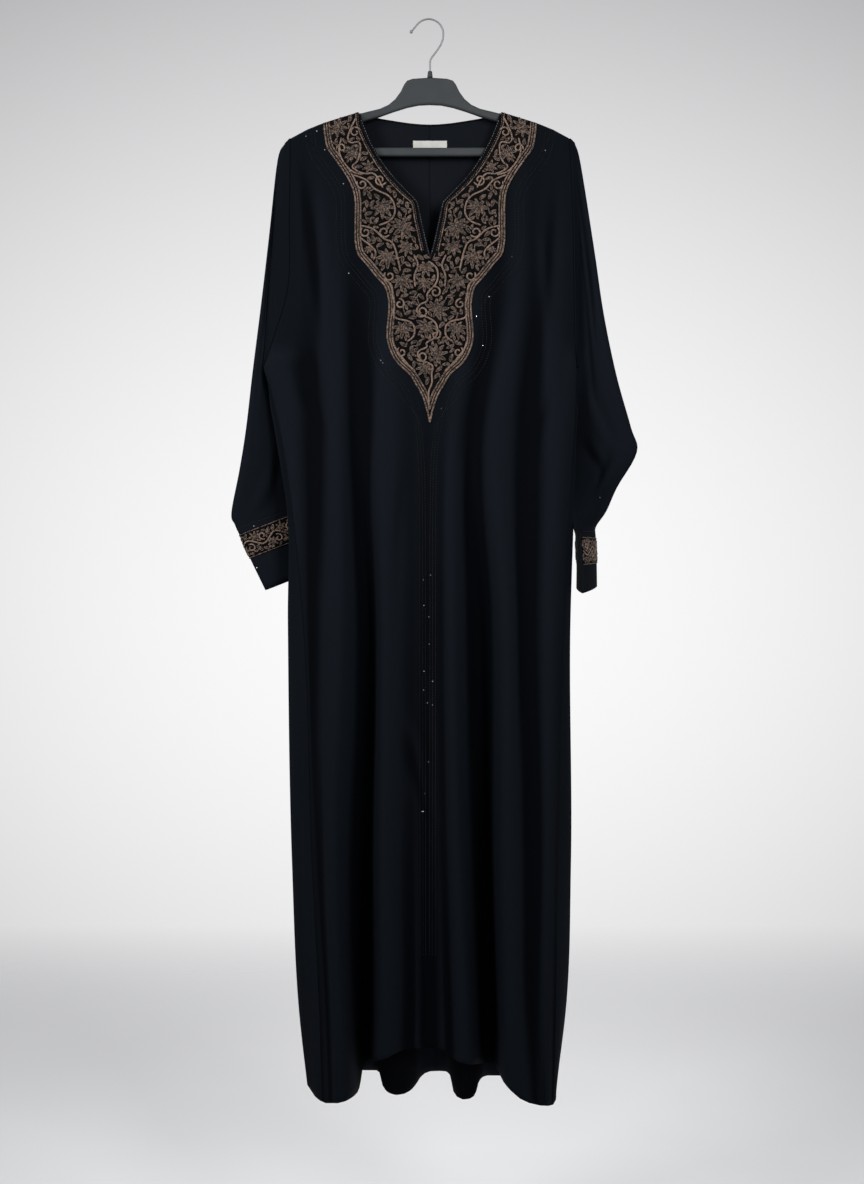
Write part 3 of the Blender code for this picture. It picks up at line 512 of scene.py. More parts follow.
def write_marks(made, name, marks):
    """Keeps two numbers for each point of a mesh, where its material can read them."""
    layer = made.data.uv_layers.new(name=name)
    corner = np.empty(len(made.data.loops), int)
    made.data.loops.foreach_get("vertex_index", corner)
    layer.data.foreach_set("uv", marks[corner].ravel())


# The fold mark, which the crepe turns into painted shade in folds and painted light on ridges.
def mark_folds(made, shares):
    write_marks(made, "folds", np.stack([shares.ravel()] * 2, axis=1))


# %% A piece of the garment
def piece(name, points, faces, material, replaced=()):
    """A mesh object that belongs to the garment."""
    mesh = bpy.data.meshes.new(name)
    mesh.from_pydata(to_world(points).reshape(-1, 3).tolist(), [], [list(map(int, face)) for face in faces])
    mesh.shade_smooth()
    mesh.materials.append(material)
    made = bpy.data.objects.new(name, mesh)
    bpy.context.scene.collection.objects.link(made)
    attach(made, "root")
    if replaced:
        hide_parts(*replaced)
    return made


def thicken(made, thickness, offset=0.0, inside=None):
    """Solidify, with another material on the inner side where one is given."""
    wall = made.modifiers.new("Thickness", "SOLIDIFY")
    wall.thickness = thickness * MM
    wall.offset = offset
    wall.use_even_offset = False
    if inside:
        made.data.materials.append(inside)
        wall.material_offset = 1
    return made


# %% [markdown]
# ## The hem
# Each fold ends in a round lobe at the hem, and the hollows between them are cut off almost level. The
# folds alone give a softer line, so two more tables say where the hem of the front and of the back is seen
# from the camera. The lowest rows of the cloth are moved to that line, and the rows above hardly at all.

# %% Tables of the hem
# As seen from the camera, in millimetres at the hanger's depth: across, then drop.
HEM_BEFORE = (
    (-195, 1590), (-181.5, 1598.2), (-177.8, 1605), (-172.5, 1614), (-165, 1620.8), (-156, 1624.5),
    (-138, 1624.8), (-126, 1621.5), (-115.5, 1614.8), (-108.8, 1607.2), (-105.8, 1597.5), (-103.5, 1584),
    (-101.2, 1570.5), (-97.5, 1562.2), (-90, 1562.2), (-78, 1560.8), (-66, 1557.8), (-54, 1551),
    (-43.5, 1545.8), (-27, 1542.9), (-3, 1542), (12, 1542.6), (24, 1547.2), (33, 1555.5), (42, 1562.4),
    (60, 1567.2), (78, 1565.2), (91.5, 1563.8), (99, 1569.8), (105, 1581), (112.5, 1595.2), (123, 1607.2),
    (135, 1617.8), (148.5, 1624.5), (165, 1628.2), (177, 1628.7), (184.5, 1626.8), (188.2, 1620),
    (190.5, 1608), (198, 1597.5),
)
HEM_BEHIND = (
    (-195, 1596), (-180, 1599), (-168, 1593), (-150, 1584), (-127.5, 1577.2), (-108, 1575), (-78, 1575.3),
    (-74.2, 1579.5), (-72.8, 1593), (-69, 1602.8), (-61.5, 1609.5), (-51, 1612.5), (-39, 1610.7),
    (-28.5, 1605), (-21, 1596), (-15, 1586.2), (-9, 1580.2), (0, 1576.8), (15, 1576.2), (25.5, 1577.2),
    (30.8, 1582.5), (33, 1594.5), (35.2, 1606.5), (40.5, 1614.8), (49.5, 1619.2), (60, 1617.9),
    (67.5, 1612.5), (70.5, 1602), (72.8, 1591.5), (78, 1585.5), (85.5, 1583.2), (105, 1583.2),
    (135, 1590), (165, 1602), (184.5, 1609.5), (195, 1611),
)
EYE_DISTANCE, EYE_ACROSS, EYE_DROP = 2000, 3, 858
HEM_PULL = 8
print("hem points:", len(HEM_BEFORE), "in front and", len(HEM_BEHIND), "behind")


# %% Rows down to the hem
def seen_hem(line, points):
    """The drop at which each point of a hem lies on a line that is given as the camera sees it."""
    scale = (EYE_DISTANCE + points[..., 1]) / EYE_DISTANCE
    across = EYE_ACROSS + (points[..., 0] - EYE_ACROSS) / scale
    line = np.array(line)
    return EYE_DROP + (np.interp(across, line[:, 0], line[:, 1]) - EYE_DROP) * scale


def body_grid(front, places):
    """Rows of points from the neck and shoulder down to the hem, with a column for each place."""
    start = body_points(front, places, np.full(len(places), float(FOLD_DROPS[0])))[:, 0]
    neck = FRONT_NECK if front else BACK_NECK
    top = np.where(np.abs(start) < NECK_POINT - 0.5, on_edge(neck, start), on_edge(SHOULDER, start))
    folds = FRONT_FOLDS if front else BACK_FOLDS
    turns = ((), ()) if front else ((TURN_HEMS[0],), (TURN_HEMS[1],))
    hems = [SEAM_HEMS[0], *turns[0], *(fold.hem for fold in folds), *turns[1], SEAM_HEMS[1]]
    hem = smooth_between(range(len(hems)), np.reshape(hems, (-1, 1)), places)[:, 0]
    ends = body_points(front, places, hem)
    behind = 0 if front else np.clip(np.minimum(places, len(hems) - 1 - places) - 1, 0, 1)
    wanted = seen_hem(HEM_BEFORE, ends) * (1 - behind) + seen_hem(HEM_BEHIND, ends) * behind
    upper = top + (UNDERARM - top) * UPPER_ROWS[:, None]
    rows = LOWER_ROWS[:, None]
    lower = UNDERARM + (hem - UNDERARM) * rows + (wanted - hem) * rows**HEM_PULL
    grid = body_points(front, places, np.concatenate([upper, lower]))
    for edge, beside in ((0, 1), (-1, -2)):
        if not front and places[edge] == CENTRE_BACK:
            continue
        inward = grid[:, beside, :2] - grid[:, edge, :2]
        grid[:, edge, :2] += inward / np.linalg.norm(inward, axis=1, keepdims=True) * DRAWN_IN
    return grid


def area_of(grid, around=False):
    """Square metres of a sheet from its grid of points."""
    if around:
        grid = np.concatenate([grid, grid[:, :1]], axis=1)
    down, beside = grid[1:, :-1] - grid[:-1, :-1], grid[:-1, 1:] - grid[:-1, :-1]
    return float(np.linalg.norm(np.cross(down, beside), axis=-1).sum() * MM * MM)


# %% Front and back
def panel(name, front, first, last, steps):
    """One panel between two places, with so many columns to a fold."""
    grid = body_grid(front, np.linspace(first, last, steps * (last - first) + 1))
    faces = grid_faces(*grid.shape[:2], flip=not front)
    made = piece(name, grid, faces, CREPE, [name.replace("_cloth", "")])
    shares = standing_out(grid, 1 if front else -1)
    mark_folds(made, shares)
    print(name, "stands out:", shares.min().round(2), "to", shares.max().round(2))
    print(name, "faces:", len(faces), "area:", round(area_of(grid), 3))
    return thicken(made, CLOTH, inside=CREPE_INSIDE), grid


front_cloth, front_grid = panel("front_cloth", True, 0, len(FRONT_FOLDS) + 1, 11)
back_left_cloth, back_left_grid = panel("back_left_cloth", False, 0, CENTRE_BACK, 16)
back_right_cloth, back_right_grid = panel("back_right_cloth", False, CENTRE_BACK, len(BACK_FOLDS) + 3, 16)

# %% [markdown]
# ## The sleeves
# A dropped sleeve hangs almost flat, so each is a stack of flattened rings from the armhole to the cuff.
# A ring has an outer fold, an under seam, a turn about the vertical and a bulge. The left sleeve swings
# back and hides behind the body, and the right one turns edge-on at the cuff.

# %% Tables of the sleeves
Ring = namedtuple("Ring", "name outer inner turn bulge")
LEFT_RINGS = (
    Ring("cap", (-216.5, 0, 184), (-251, 2, 528), 0, 7),
    Ring("head", (-228, 0, 210), (-251.5, 6, 537), 0, 4.5),
    Ring("upper", (-239.5, 2, 313), (-252.5, 10, 554), 0, 9),
    Ring("arm", (-253, 8, 420), (-240, 27, 590), 0, 11),
    Ring("elbow", (-267, 13, 525), (-222, 35, 622), 0, 13),
    Ring("lower", (-278, 20, 610), (-205, 40, 655), 0, 13),
    Ring("forearm", (-289, 26, 673), (-191, 46, 682), 0, 12),
    Ring("knee", (-302, 31, 737), (-179, 49, 704), 0, 11),
    Ring("above_band", (-297, 32, 755), (-174, 50, 714), 0, 10.5),
    Ring("band_top", (-290, 33, 771), (-170, 51, 723), 0, 10),
    Ring("band_bottom", (-274, 35, 807), (-154, 53, 760), 0, 10),
    Ring("hem", (-251, 37, 855), (-132, 55, 807), 0, 10.5),
)
RIGHT_RINGS = (
    Ring("cap", (216.5, 0, 184), (218.5, 2, 528), 0, 7),
    Ring("head", (225.5, 0, 216), (218.5, 6, 538), 0, 4.5),
    Ring("upper", (246, 0, 346), (218, 14, 560), 0, 9),
    Ring("arm", (260.5, 5, 440), (217, 23, 590), 0, 13),
    Ring("elbow", (280, 8, 532), (212, 31, 621), 0, 15),
    Ring("lower", (302, 12, 609), (210, 34, 652), 6, 13),
    Ring("forearm", (311, 20, 646), (212, 30, 688), 18, 14.5),
    Ring("knee", (280, 42, 698), (216, 16, 722), 42, 13),
    Ring("wrist", (261, 58, 734), (215.7, 2, 744), 66, 14),
    Ring("above_band", (245, 68, 757), (215.5, -6, 762), 78, 14),
    Ring("band_top", (243, 72, 774), (223.5, -16, 776), 84, 15),
    Ring("band_bottom", (244.5, 74, 813), (226, -17, 818), 84, 15),
    Ring("hem", (244.5, 74, 848), (227, -16, 860), 84, 15.5),
)
ARMHOLE_BLEND = {"cap": 0.8, "head": 0.5, "upper": 0.2}
ARMHOLE_GAP = 0.45
ARMHOLE_LEAD = 2.0
UNDERARM_GAP = 1.4
ROUND_FOLD = 0.1
SHARES = np.concatenate([[0, 0.004, 0.015, 0.035, 0.065, 0.1], np.linspace(0.14, 0.93, 20), [0.965, 0.985, 1]])
RINGS_BETWEEN = 6

# %% Creases of the sleeves
# Where each starts and ends, as (ring number, share across), its width in shares and its height.
Wrinkle = namedtuple("Wrinkle", "start end width height front")
LEFT_WRINKLES = (
    Wrinkle((0.1, 0.10), (3.6, 0.32), 0.045, -3.2, True),
    Wrinkle((0.3, 0.24), (4.0, 0.52), 0.05, -2.6, True),
    Wrinkle((1.2, 0.46), (5.0, 0.20), 0.05, 2.4, True),
    Wrinkle((4.2, 0.75), (7.4, 0.40), 0.06, -2.8, True),
    Wrinkle((5.4, 0.55), (8.0, 0.15), 0.06, 2.6, True),
    Wrinkle((0.4, 0.2), (5.0, 0.45), 0.05, -2.8, False),
    Wrinkle((3.4, 0.7), (7.4, 0.35), 0.06, 2.6, False),
)
RIGHT_WRINKLES = (
    Wrinkle((0.1, 0.12), (3.8, 0.30), 0.045, -3.4, True),
    Wrinkle((0.6, 0.30), (4.6, 0.48), 0.05, -2.6, True),
    Wrinkle((0.4, 0.20), (3.4, 0.40), 0.04, 2.4, True),
    Wrinkle((3.0, 0.62), (5.8, 0.30), 0.06, 2.8, True),
    Wrinkle((4.2, 0.78), (6.8, 0.45), 0.05, -3.0, True),
    Wrinkle((5.2, 0.35), (7.2, 0.62), 0.05, -2.6, True),
    Wrinkle((0.4, 0.2), (5.0, 0.45), 0.05, -2.8, False),
    Wrinkle((3.4, 0.7), (6.4, 0.35), 0.06, 2.6, False),
)


# %% Where a sleeve meets the body
def armhole_line(front_edge, back_edge, side):
    """The sleeve's first ring: down the front armhole and up the back one, a little way out."""
    count = len(SHARES)
    lines = []
    for edge in (front_edge, back_edge):
        rows = edge[: len(UPPER_ROWS)]
        at = np.interp(SHARES, UPPER_ROWS, np.arange(len(UPPER_ROWS)))
        lines.append(np.stack([np.interp(at, np.arange(len(rows)), rows[:, i]) for i in range(3)], axis=1))
    loop = np.concatenate([lines[0], lines[1][-2:0:-1]])
    loop[[0, count - 1], 1] = 0
    order = np.abs(np.arange(len(loop)) - (count - 1))  # points counted from the underarm
    loop[:, 0] += side * np.interp(order, [0, 3], [UNDERARM_GAP, ARMHOLE_GAP])
    return loop


# %% Rings of a sleeve
FLAT_HALF = 0.8
WRINKLE_ROOM = 3


def sleeve_ring(values, at, wrinkles):
    """One ring from its row of numbers: outer, inner, turn, bulge and share of the armhole's spacing."""
    outer, inner, turn, bulge, blend = values[:3], values[3:6], *values[6:]
    coarse = np.interp(SHARES, np.linspace(0, 1, len(SHARES)), SHARES)
    shares = coarse * (1 - blend) + SHARES * blend
    rounded = np.sqrt(1 - (1 - np.clip(shares / ROUND_FOLD, 0, 1)) ** 2)
    half = bulge * rounded * (1 - shares**2)
    lifts = []
    for front in (True, False):
        lift = np.zeros(len(shares))
        for wrinkle in wrinkles:
            along = (at - wrinkle.start[0]) / (wrinkle.end[0] - wrinkle.start[0])
            if wrinkle.front != front or not 0 < along < 1:
                continue
            middle = wrinkle.start[1] + (wrinkle.end[1] - wrinkle.start[1]) * along
            bell = np.exp(-(((shares - middle) / wrinkle.width) ** 2)) * np.sin(math.pi * along) ** 2
            lift += wrinkle.height * bell * np.clip(half / WRINKLE_ROOM, 0, 1)
        lifts.append(np.maximum(half + lift, np.minimum(half, FLAT_HALF)))
    out = np.array([math.sin(math.radians(turn)), -math.cos(math.radians(turn)), 0])
    middle = outer + (inner - outer) * shares[:, None]
    front, back = middle + out * lifts[0][:, None], middle - out * lifts[1][:, None]
    return np.concatenate([front, back[-2:0:-1]])


def sleeve_grid(rings, wrinkles, front_edge, back_edge, side):
    """All the rings of a sleeve: the armhole, a lead away from it, and the rings of its table."""
    rows = [(*r.outer, *r.inner, r.turn, r.bulge, ARMHOLE_BLEND.get(r.name, 0)) for r in rings]
    stations = np.linspace(0, len(rings) - 1, (len(rings) - 1) * RINGS_BETWEEN + 1)
    values = smooth_between(range(len(rings)), rows, stations)
    first = armhole_line(front_edge, back_edge, side)
    lead = first + np.array([side * ARMHOLE_LEAD, 0, 0])
    return np.array([first, lead, *(sleeve_ring(v, at, wrinkles) for v, at in zip(values, stations))])


# %% The two sleeves
FADED_ROWS = 16


def sleeve(name, rings, wrinkles, front_edge, back_edge, side):
    """A sleeve on one side of the body. Its fold marks, which paint shade and light on the crepe, fade out towards
    the armhole.
    """
    grid = sleeve_grid(rings, wrinkles, front_edge, back_edge, side)
    faces = grid_faces(*grid.shape[:2], around=True, flip=side > 0)
    made = piece(name + "_cloth", grid, faces, CREPE, [name])
    shares = standing_out(grid, -side, around=True)
    below_armhole = np.clip(np.arange(len(shares)) / FADED_ROWS, 0, 1)[:, None]
    mark_folds(made, 0.5 + (shares - 0.5) * below_armhole)
    print(made.name, "faces:", len(faces), "area:", round(area_of(grid, True), 3))
    return thicken(made, CLOTH, inside=CREPE_INSIDE), grid


sleeve_left_cloth, left_grid = sleeve(
    "sleeve_left", LEFT_RINGS, LEFT_WRINKLES, front_grid[:, 0], back_left_grid[:, 0], -1
)
sleeve_right_cloth, right_grid = sleeve(
    "sleeve_right", RIGHT_RINGS, RIGHT_WRINKLES, front_grid[:, -1], back_right_grid[:, -1], 1
)

# %% [markdown]
# ## A surface to sew on
# Embroidery is drawn flat and then laid on the cloth. For that the cloth is kept as a regular grid of
# points: "at" finds the point and the outward direction for any flat place, so each cord, leaf and stitch
# follows the folds beneath it.


# %% Surfaces for sewing
NORMAL_STEP = 1.5


class Ground:
    """A surface that flat drawings are laid on. u runs across it and v down it, both in millimetres."""

    def __init__(self, points, u, v, outward):
        self.points, self.outward = points, outward
        self.u, self.v = np.asarray(u, float), np.asarray(v, float)

    def point(self, u, v):
        """The point at a flat place, between the four nearest points of the grid."""
        i = np.clip(np.searchsorted(self.u, u, side="right") - 1, 0, len(self.u) - 2)
        j = np.clip(np.searchsorted(self.v, v, side="right") - 1, 0, len(self.v) - 2)
        a = ((u - self.u[i]) / (self.u[i + 1] - self.u[i]))[..., None]
        b = ((v - self.v[j]) / (self.v[j + 1] - self.v[j]))[..., None]
        top = self.points[j, i] * (1 - a) + self.points[j, i + 1] * a
        low = self.points[j + 1, i] * (1 - a) + self.points[j + 1, i + 1] * a
        return top * (1 - b) + low * b

    def at(self, flat):
        """Points on the surface and its outward normals, for flat places in rows of (u, v)."""
        u, v = np.asarray(flat, float).T
        place = self.point(u, v)
        across = self.point(u + NORMAL_STEP, v) - self.point(u - NORMAL_STEP, v)
        normal = np.cross(across, self.point(u, v + NORMAL_STEP) - place)
        normal *= self.outward / np.linalg.norm(normal, axis=-1, keepdims=True)
        return place, normal


def chest_ground():
    """The front of the body as a ground, from the shoulders down to where the stitched lines end."""
    across, drop = np.arange(-206.0, 207.0, 2.0), np.arange(142.0, 1500.0, 3.0)
    places = np.linspace(0, len(FRONT_FOLDS) + 1, 420)
    rows = body_points(True, places[None, :], drop[:, None])
    depth = np.array([np.interp(across, row[:, 0], row[:, 1]) for row in rows])
    grid = np.stack([*np.broadcast_arrays(across[None, :], depth, drop[:, None])], axis=-1)
    return Ground(grid, across, drop, 1)


CHEST = chest_ground()
place, normal = CHEST.at([(0, 500)])
print("cloth below the slit: depth", place[0, 1].round(1), "normal", normal[0].round(2))


# %% Cords, and the pile that collects them
class Pile:
    """Collects many small closed shapes for one mesh, with a length along each for its stitches."""

    def __init__(self):
        self.points, self.faces, self.marks, self.count = [], [], [], 0

    def add(self, points, faces, marks):
        self.points.append(points.reshape(-1, 3))
        self.faces.extend((np.asarray(face) + self.count).tolist() for face in faces)
        self.marks.append(np.asarray(marks, float).reshape(-1, 2))
        self.count += points.reshape(-1, 3).shape[0]

    def sewn(self, name, material, replaced=(), slot=None):
        """Makes the one mesh."""
        made = piece(name, np.concatenate(self.points), self.faces, material, replaced)
        write_marks(made, "stitches", np.concatenate(self.marks))
        print(name, "faces:", len(self.faces))
        return made


def resampled(route, step, closed=False):
    """The route with points a step apart."""
    route = np.asarray(route, float)
    if closed:
        route = np.concatenate([route, route[:1]])
    lengths = np.concatenate([[0], np.cumsum(np.linalg.norm(np.diff(route, axis=0), axis=1))])
    count = max(3, int(round(lengths[-1] / step)) + 1)
    at = np.linspace(0, lengths[-1], count)
    even = np.stack([np.interp(at, lengths, route[:, i]) for i in range(route.shape[1])], axis=1)
    return even[:-1] if closed else even


# %% One cord
FINE, SATIN, RAISED = 0, 1, 2
KIND_MARK = 4.0
CORD_TAPER = 0.35


def cord(pile, ground, route, width, height, lift, closed=False, step=2.4, sides=6, kind=FINE):
    """A cord couched on a ground: an oval tube along a flat route, narrower at its ends.

    A satin one swells towards its middle, like a petal filled with satin stitch. The kind is also written
    in the marks, for the thread's colour."""
    flat = resampled(route, step, closed)
    place, normal = ground.at(flat)
    along = np.roll(place, -1, axis=0) - np.roll(place, 1, axis=0)
    if not closed:
        along[0], along[-1] = place[1] - place[0], place[-1] - place[-2]
    beside = np.cross(normal, along)
    beside /= np.linalg.norm(beside, axis=1, keepdims=True)
    size = np.ones(len(flat))
    if kind == SATIN:
        size = 0.12 + 0.88 * np.sin(math.pi * np.linspace(0.03, 0.97, len(flat)) ** 0.85)
    elif not closed:
        size[[0, -1]] = CORD_TAPER
    angle = 2 * math.pi * np.arange(sides) / sides
    ring = (
        place[:, None]
        + normal[:, None] * (lift + height / 2 * np.sin(angle)[:, None] * size[:, None, None])
        + beside[:, None] * (width / 2 * np.cos(angle)[:, None] * size[:, None, None])
    )
    run = np.concatenate([[0], np.cumsum(np.linalg.norm(np.diff(place, axis=0), axis=1))])
    marks = np.stack(np.broadcast_arrays(run[:, None], np.arange(sides)[None, :] / sides), axis=-1)
    marks[..., 1] += KIND_MARK * kind
    pile.add(ring, (loop_faces if closed else capped_faces)(len(flat), sides), marks)


# %% [markdown]
# ## Motifs
# The yoke is filled with traditional scrolling vines, with leaves and many-petalled flowers between them.
# Each motif is one short function that draws its outline in flat millimetres from a centre, a size and a
# turn. None is a tracing: leaves and petals are two arcs round a padded middle, flowers are fans of
# petals, and scrolls are hooks that end in a bead.


# %% Leaves, and a flat drawing turned to its place
def turned(points, centre, angle):
    """Points drawn along +u, turned by an angle in degrees and moved to a centre."""
    a = math.radians(angle)
    turn = np.array([[math.cos(a), math.sin(a)], [-math.sin(a), math.cos(a)]])
    return np.asarray(points, float) @ turn + np.asarray(centre, float)


def leaf_outline(length, width, bend=0.0, count=6):
    """A closed leaf from its stalk at 0 to its tip at length."""
    at = np.linspace(0, 1, count + 1)
    half = width / 2 * np.sin(math.pi * at**0.8)
    line = bend * length * at**2
    upper = np.stack([length * at, line + half], axis=1)
    lower = np.stack([length * at, line - half], axis=1)[-2:0:-1]
    return np.concatenate([upper, lower])


def softened(route, times):
    """Cuts the corners of an open route a few times, with its ends kept."""
    route = np.asarray(route, float)
    for _ in range(times):
        quarter = route[:-1] * 0.75 + route[1:] * 0.25
        three = route[:-1] * 0.25 + route[1:] * 0.75
        inner = np.stack([quarter, three], axis=1).reshape(-1, 2)
        route = np.concatenate([route[:1], inner[1:-1], route[-1:]])
    return route


# %% A needle that sews petals, flowers, scrolls and vines
TENDRIL_WIDTH = 2.5


class Needle:
    """Sews motifs on one ground into one pile of cords, and remembers the flat places that they take."""

    def __init__(self, pile, ground, lift, mirror=1):
        self.pile, self.ground, self.lift, self.mirror = pile, ground, lift, mirror
        self.taken = []

    def line(self, route, width, height=1.3, closed=False, step=2.2, sides=6, kind=FINE):
        flat = np.asarray(route, float) * (self.mirror, 1)
        cord(self.pile, self.ground, flat, width, height, self.lift, closed, step, sides, kind)
        for u, v in resampled(flat, 1.5, closed):
            self.taken.append((u, v, width / 2))

    def petal(self, u, v, length, angle, width, bend=0.0):
        """A padded petal or leaf inside an outline of fine cord."""
        middle = [(length * at, bend * length * at**2) for at in (0.1, 0.3, 0.5, 0.7, 0.88)]
        step = max(1.7, length / 6)
        self.line(turned(middle, (u, v), angle), width - 1.7, 1.0, step=length / 5.5, sides=5, kind=SATIN)
        self.line(turned(leaf_outline(length, width - 0.7, bend), (u, v), angle), 1.15, 1.3, True, step, 5)

    def flower(self, u, v, radius, petals=6, turn=0):
        """A half-open flower: a fan of pointed petals, the middle one longest, over two short sepals."""
        base = turned([(-radius * 0.55, 0)], (u, v), turn)[0]
        petals = min(petals, 6)
        for number in range(petals):
            side = number / (petals - 1) * 2 - 1
            angle = turn + side * 86
            long = radius * (1.5 - 0.42 * abs(side))
            start = turned([(radius * 0.18, 0)], base, angle)[0]
            self.petal(*start, long, angle, radius * 0.42, 0.12 * side)
        for side in (-1, 1):
            self.petal(*base, radius * 0.75, turn + side * 128, radius * 0.34, 0.2 * side)
        self.line([base, turned([(radius * 0.3, 0)], base, turn)[0]], radius * 0.3, 1.9, step=1.5)

    def scroll(self, u, v, radius, angle, hand=1):
        """A hook of a little over one turn round (u, v), with a bead at its inner end."""
        at = np.linspace(0, 1, 15)
        sweep = math.radians(angle) + hand * at * math.radians(400)
        size = radius * (1 - 0.68 * at**0.9)
        spiral = np.stack([u + size * np.cos(sweep), v + size * np.sin(sweep)], axis=1)
        bead = [spiral[-1], spiral[-1] * 0.4 + np.array([u, v]) * 0.6]
        self.line(softened(spiral, 1), TENDRIL_WIDTH, 2.1, kind=RAISED)
        self.line(bead, 2.6, 2.0, step=1.0, sides=5, kind=SATIN)

    def vine(self, route):
        self.line(softened(route, 3), TENDRIL_WIDTH, 2.2, kind=RAISED)


# %% [markdown]
# ## Bronze thread
# The cords are wrapped and couched with bronze-brown thread that has a low, silky shine. The stitches lie
# slantwise across each cord. They are made from the length along the cord that each point carries, so
# they turn with it, and a noise in place varies the brown from cord to cord.


# %% Bronze thread
STITCH_SLANT = 2.6


def thread(name, dark, light, roughness, metallic):
    """Wrapped thread. Satin stitches are knotted and darker, and raised cords are lighter."""
    finish = Finish(name, Specular_IOR_Level=0.3 if metallic else 0.08, Sheen_Weight=0.05)
    along, around, _ = finish.split(finish.node("UVMap", {"uv_map": "stitches"}, {}))
    raised = finish.maths("GREATER_THAN", around, KIND_MARK * (SATIN + RAISED) / 2)
    satin = finish.maths("GREATER_THAN", around, KIND_MARK * SATIN / 2) - raised
    slant = finish.maths("SINE", along * (2 * math.pi / STITCH_SLANT) + around * 12.566)
    fibre = finish.noise(finish.place(), 900, 2.0)
    patch = finish.noise(finish.place(), 42, 2.0)
    knots = finish.noise(finish.place(), 430, 1.0)
    cells = finish.node("TexVoronoi", {}, {"Vector": finish.place(), "Scale": 540.0}, "Color")
    speckle = fibre * 0.6 + cells * 1.3 - 0.95
    share = slant * 0.1 + speckle + patch * 0.3 + satin * (knots * 1.4 - 1.0) + raised * 0.3 + 0.33
    colour = finish.ramp(share, [(0.1, dark), (0.9, light)])
    return finish.shade(
        Base_Color=colour,
        Roughness=roughness + fibre * 0.2,
        Metallic=metallic,
        Normal=finish.bumped(slant * 0.5 + fibre * 0.6 + knots, 0.0005, 0.8),
    )


BRONZE = thread("bronze_thread", (0.0050, 0.0032, 0.0025), (0.205, 0.137, 0.102), 0.5, 0.1)
BLACK_THREAD = thread("black_silk_thread", (0.0010, 0.0010, 0.0014), (0.0050, 0.0052, 0.0062), 0.45, 0.0)
print("bronze nodes:", len(BRONZE.node_tree.nodes))


# %% Black net under the embroidery
def yoke_ground_finish():
    finish = Finish("yoke_ground", Specular_IOR_Level=0.04)
    net = finish.node("TexVoronoi", {}, {"Vector": finish.place(), "Scale": 640.0})
    cloud = finish.noise(finish.place(), 120, 3.0)
    colour = finish.ramp(cloud, [(0.3, (0.0012, 0.0012, 0.0016)), (0.85, (0.0045, 0.0038, 0.0038))])
    return finish.shade(Base_Color=colour, Roughness=0.84, Normal=finish.bumped(net + cloud, 0.0004, 0.8))


YOKE_GROUND = yoke_ground_finish()
print("net nodes:", len(YOKE_GROUND.node_tree.nodes))

# %% [markdown]
# ## The yoke
# A shaped black ground lies round the neck and the slit, and ends in a point. Its outer edge has three
# parallel bronze strands with thin dark gaps between them, and the neck edge has a fine strand and a line
# of small dots. The rows below give the inner and the outer edge of half of it.

# %% Outline of the yoke
# On the shoulder: inner across, how far below the shoulder's edge, outer across. Then inner and outer edge.
SHOULDER_LEGS = ((106.5, 2.0, 159.5), (106.0, 6.0, 159.3), (105.2, 12.0, 159.0))
YOKE_ROWS = (
    (104, 162, 158, 176),
    (95, 184, 154, 196),
    (85, 203, 142.5, 213),
    (72, 224, 126, 237),
    (56, 244.5, 115.5, 259),
    (38, 263, 112.5, 278),
    (23, 277.5, 112.5, 296),
    (18, 303, 112.5, 314),
    (12, 330, 112.5, 334),
    (7.5, 350, 108, 355),
    (0, 367, 95, 371),
    (0, 385, 80, 390),
    (0, 403, 67.5, 405),
    (0, 425, 62.5, 425),
    (0, 445, 62.5, 445),
    (0, 465, 64.5, 465),
    (0, 483, 64.5, 483),
    (0, 502, 59, 502),
    (0, 519, 49, 519),
    (0, 536, 31, 536),
    (0, 552, 21, 552),
    (0, 568, 12, 568),
    (0, 588, 5.6, 588),
    (0, 608, 1.6, 607),
)


def yoke_edges():
    """Inner and outer edge of the right half, from the shoulder to the point."""
    rows = [
        (inner, on_edge(SHOULDER, inner) + below, outer, on_edge(SHOULDER, outer) + below)
        for inner, below, outer in SHOULDER_LEGS
    ]
    rows = np.array([*rows, *YOKE_ROWS], float)
    at = np.arange(len(rows))
    fine = smooth_between(at, rows, np.linspace(0, len(rows) - 1, 4 * (len(rows) - 1) + 1))
    return fine[:, :2], fine[:, 2:]


def moved_in(route, distance):
    """A route moved sideways towards the middle of the yoke."""
    route = np.asarray(route, float)
    along = np.gradient(route, axis=0)
    along /= np.maximum(np.linalg.norm(along, axis=1, keepdims=True), 1e-9)
    return route + np.stack([-along[:, 1], along[:, 0]], axis=1) * distance


INNER_EDGE, OUTER_EDGE = yoke_edges()
print("yoke outline:", len(OUTER_EDGE), "rows, down to", OUTER_EDGE[-1].round(1))


# %% Ground of the yoke
def yoke_ground():
    """The black ground, in two halves that meet at the middle."""
    steps = np.linspace(0, 1, 19)
    pile = Pile()
    for side in (-1, 1):
        inner, outer = INNER_EDGE * (side, 1), OUTER_EDGE * (side, 1)
        flat = outer[:, None] + (inner - outer)[:, None] * steps[None, :, None]
        place, normal = CHEST.at(flat.reshape(-1, 2))
        grid = (place + normal * 1.0).reshape(*flat.shape[:2], 3)
        marks = flat.reshape(-1, 2)
        pile.add(grid, grid_faces(*flat.shape[:2], flip=side > 0), marks)
    made = pile.sewn("yoke_ground", YOKE_GROUND, ["yoke"], "embroidery")
    return thicken(made, 0.7)


yoke_ground()

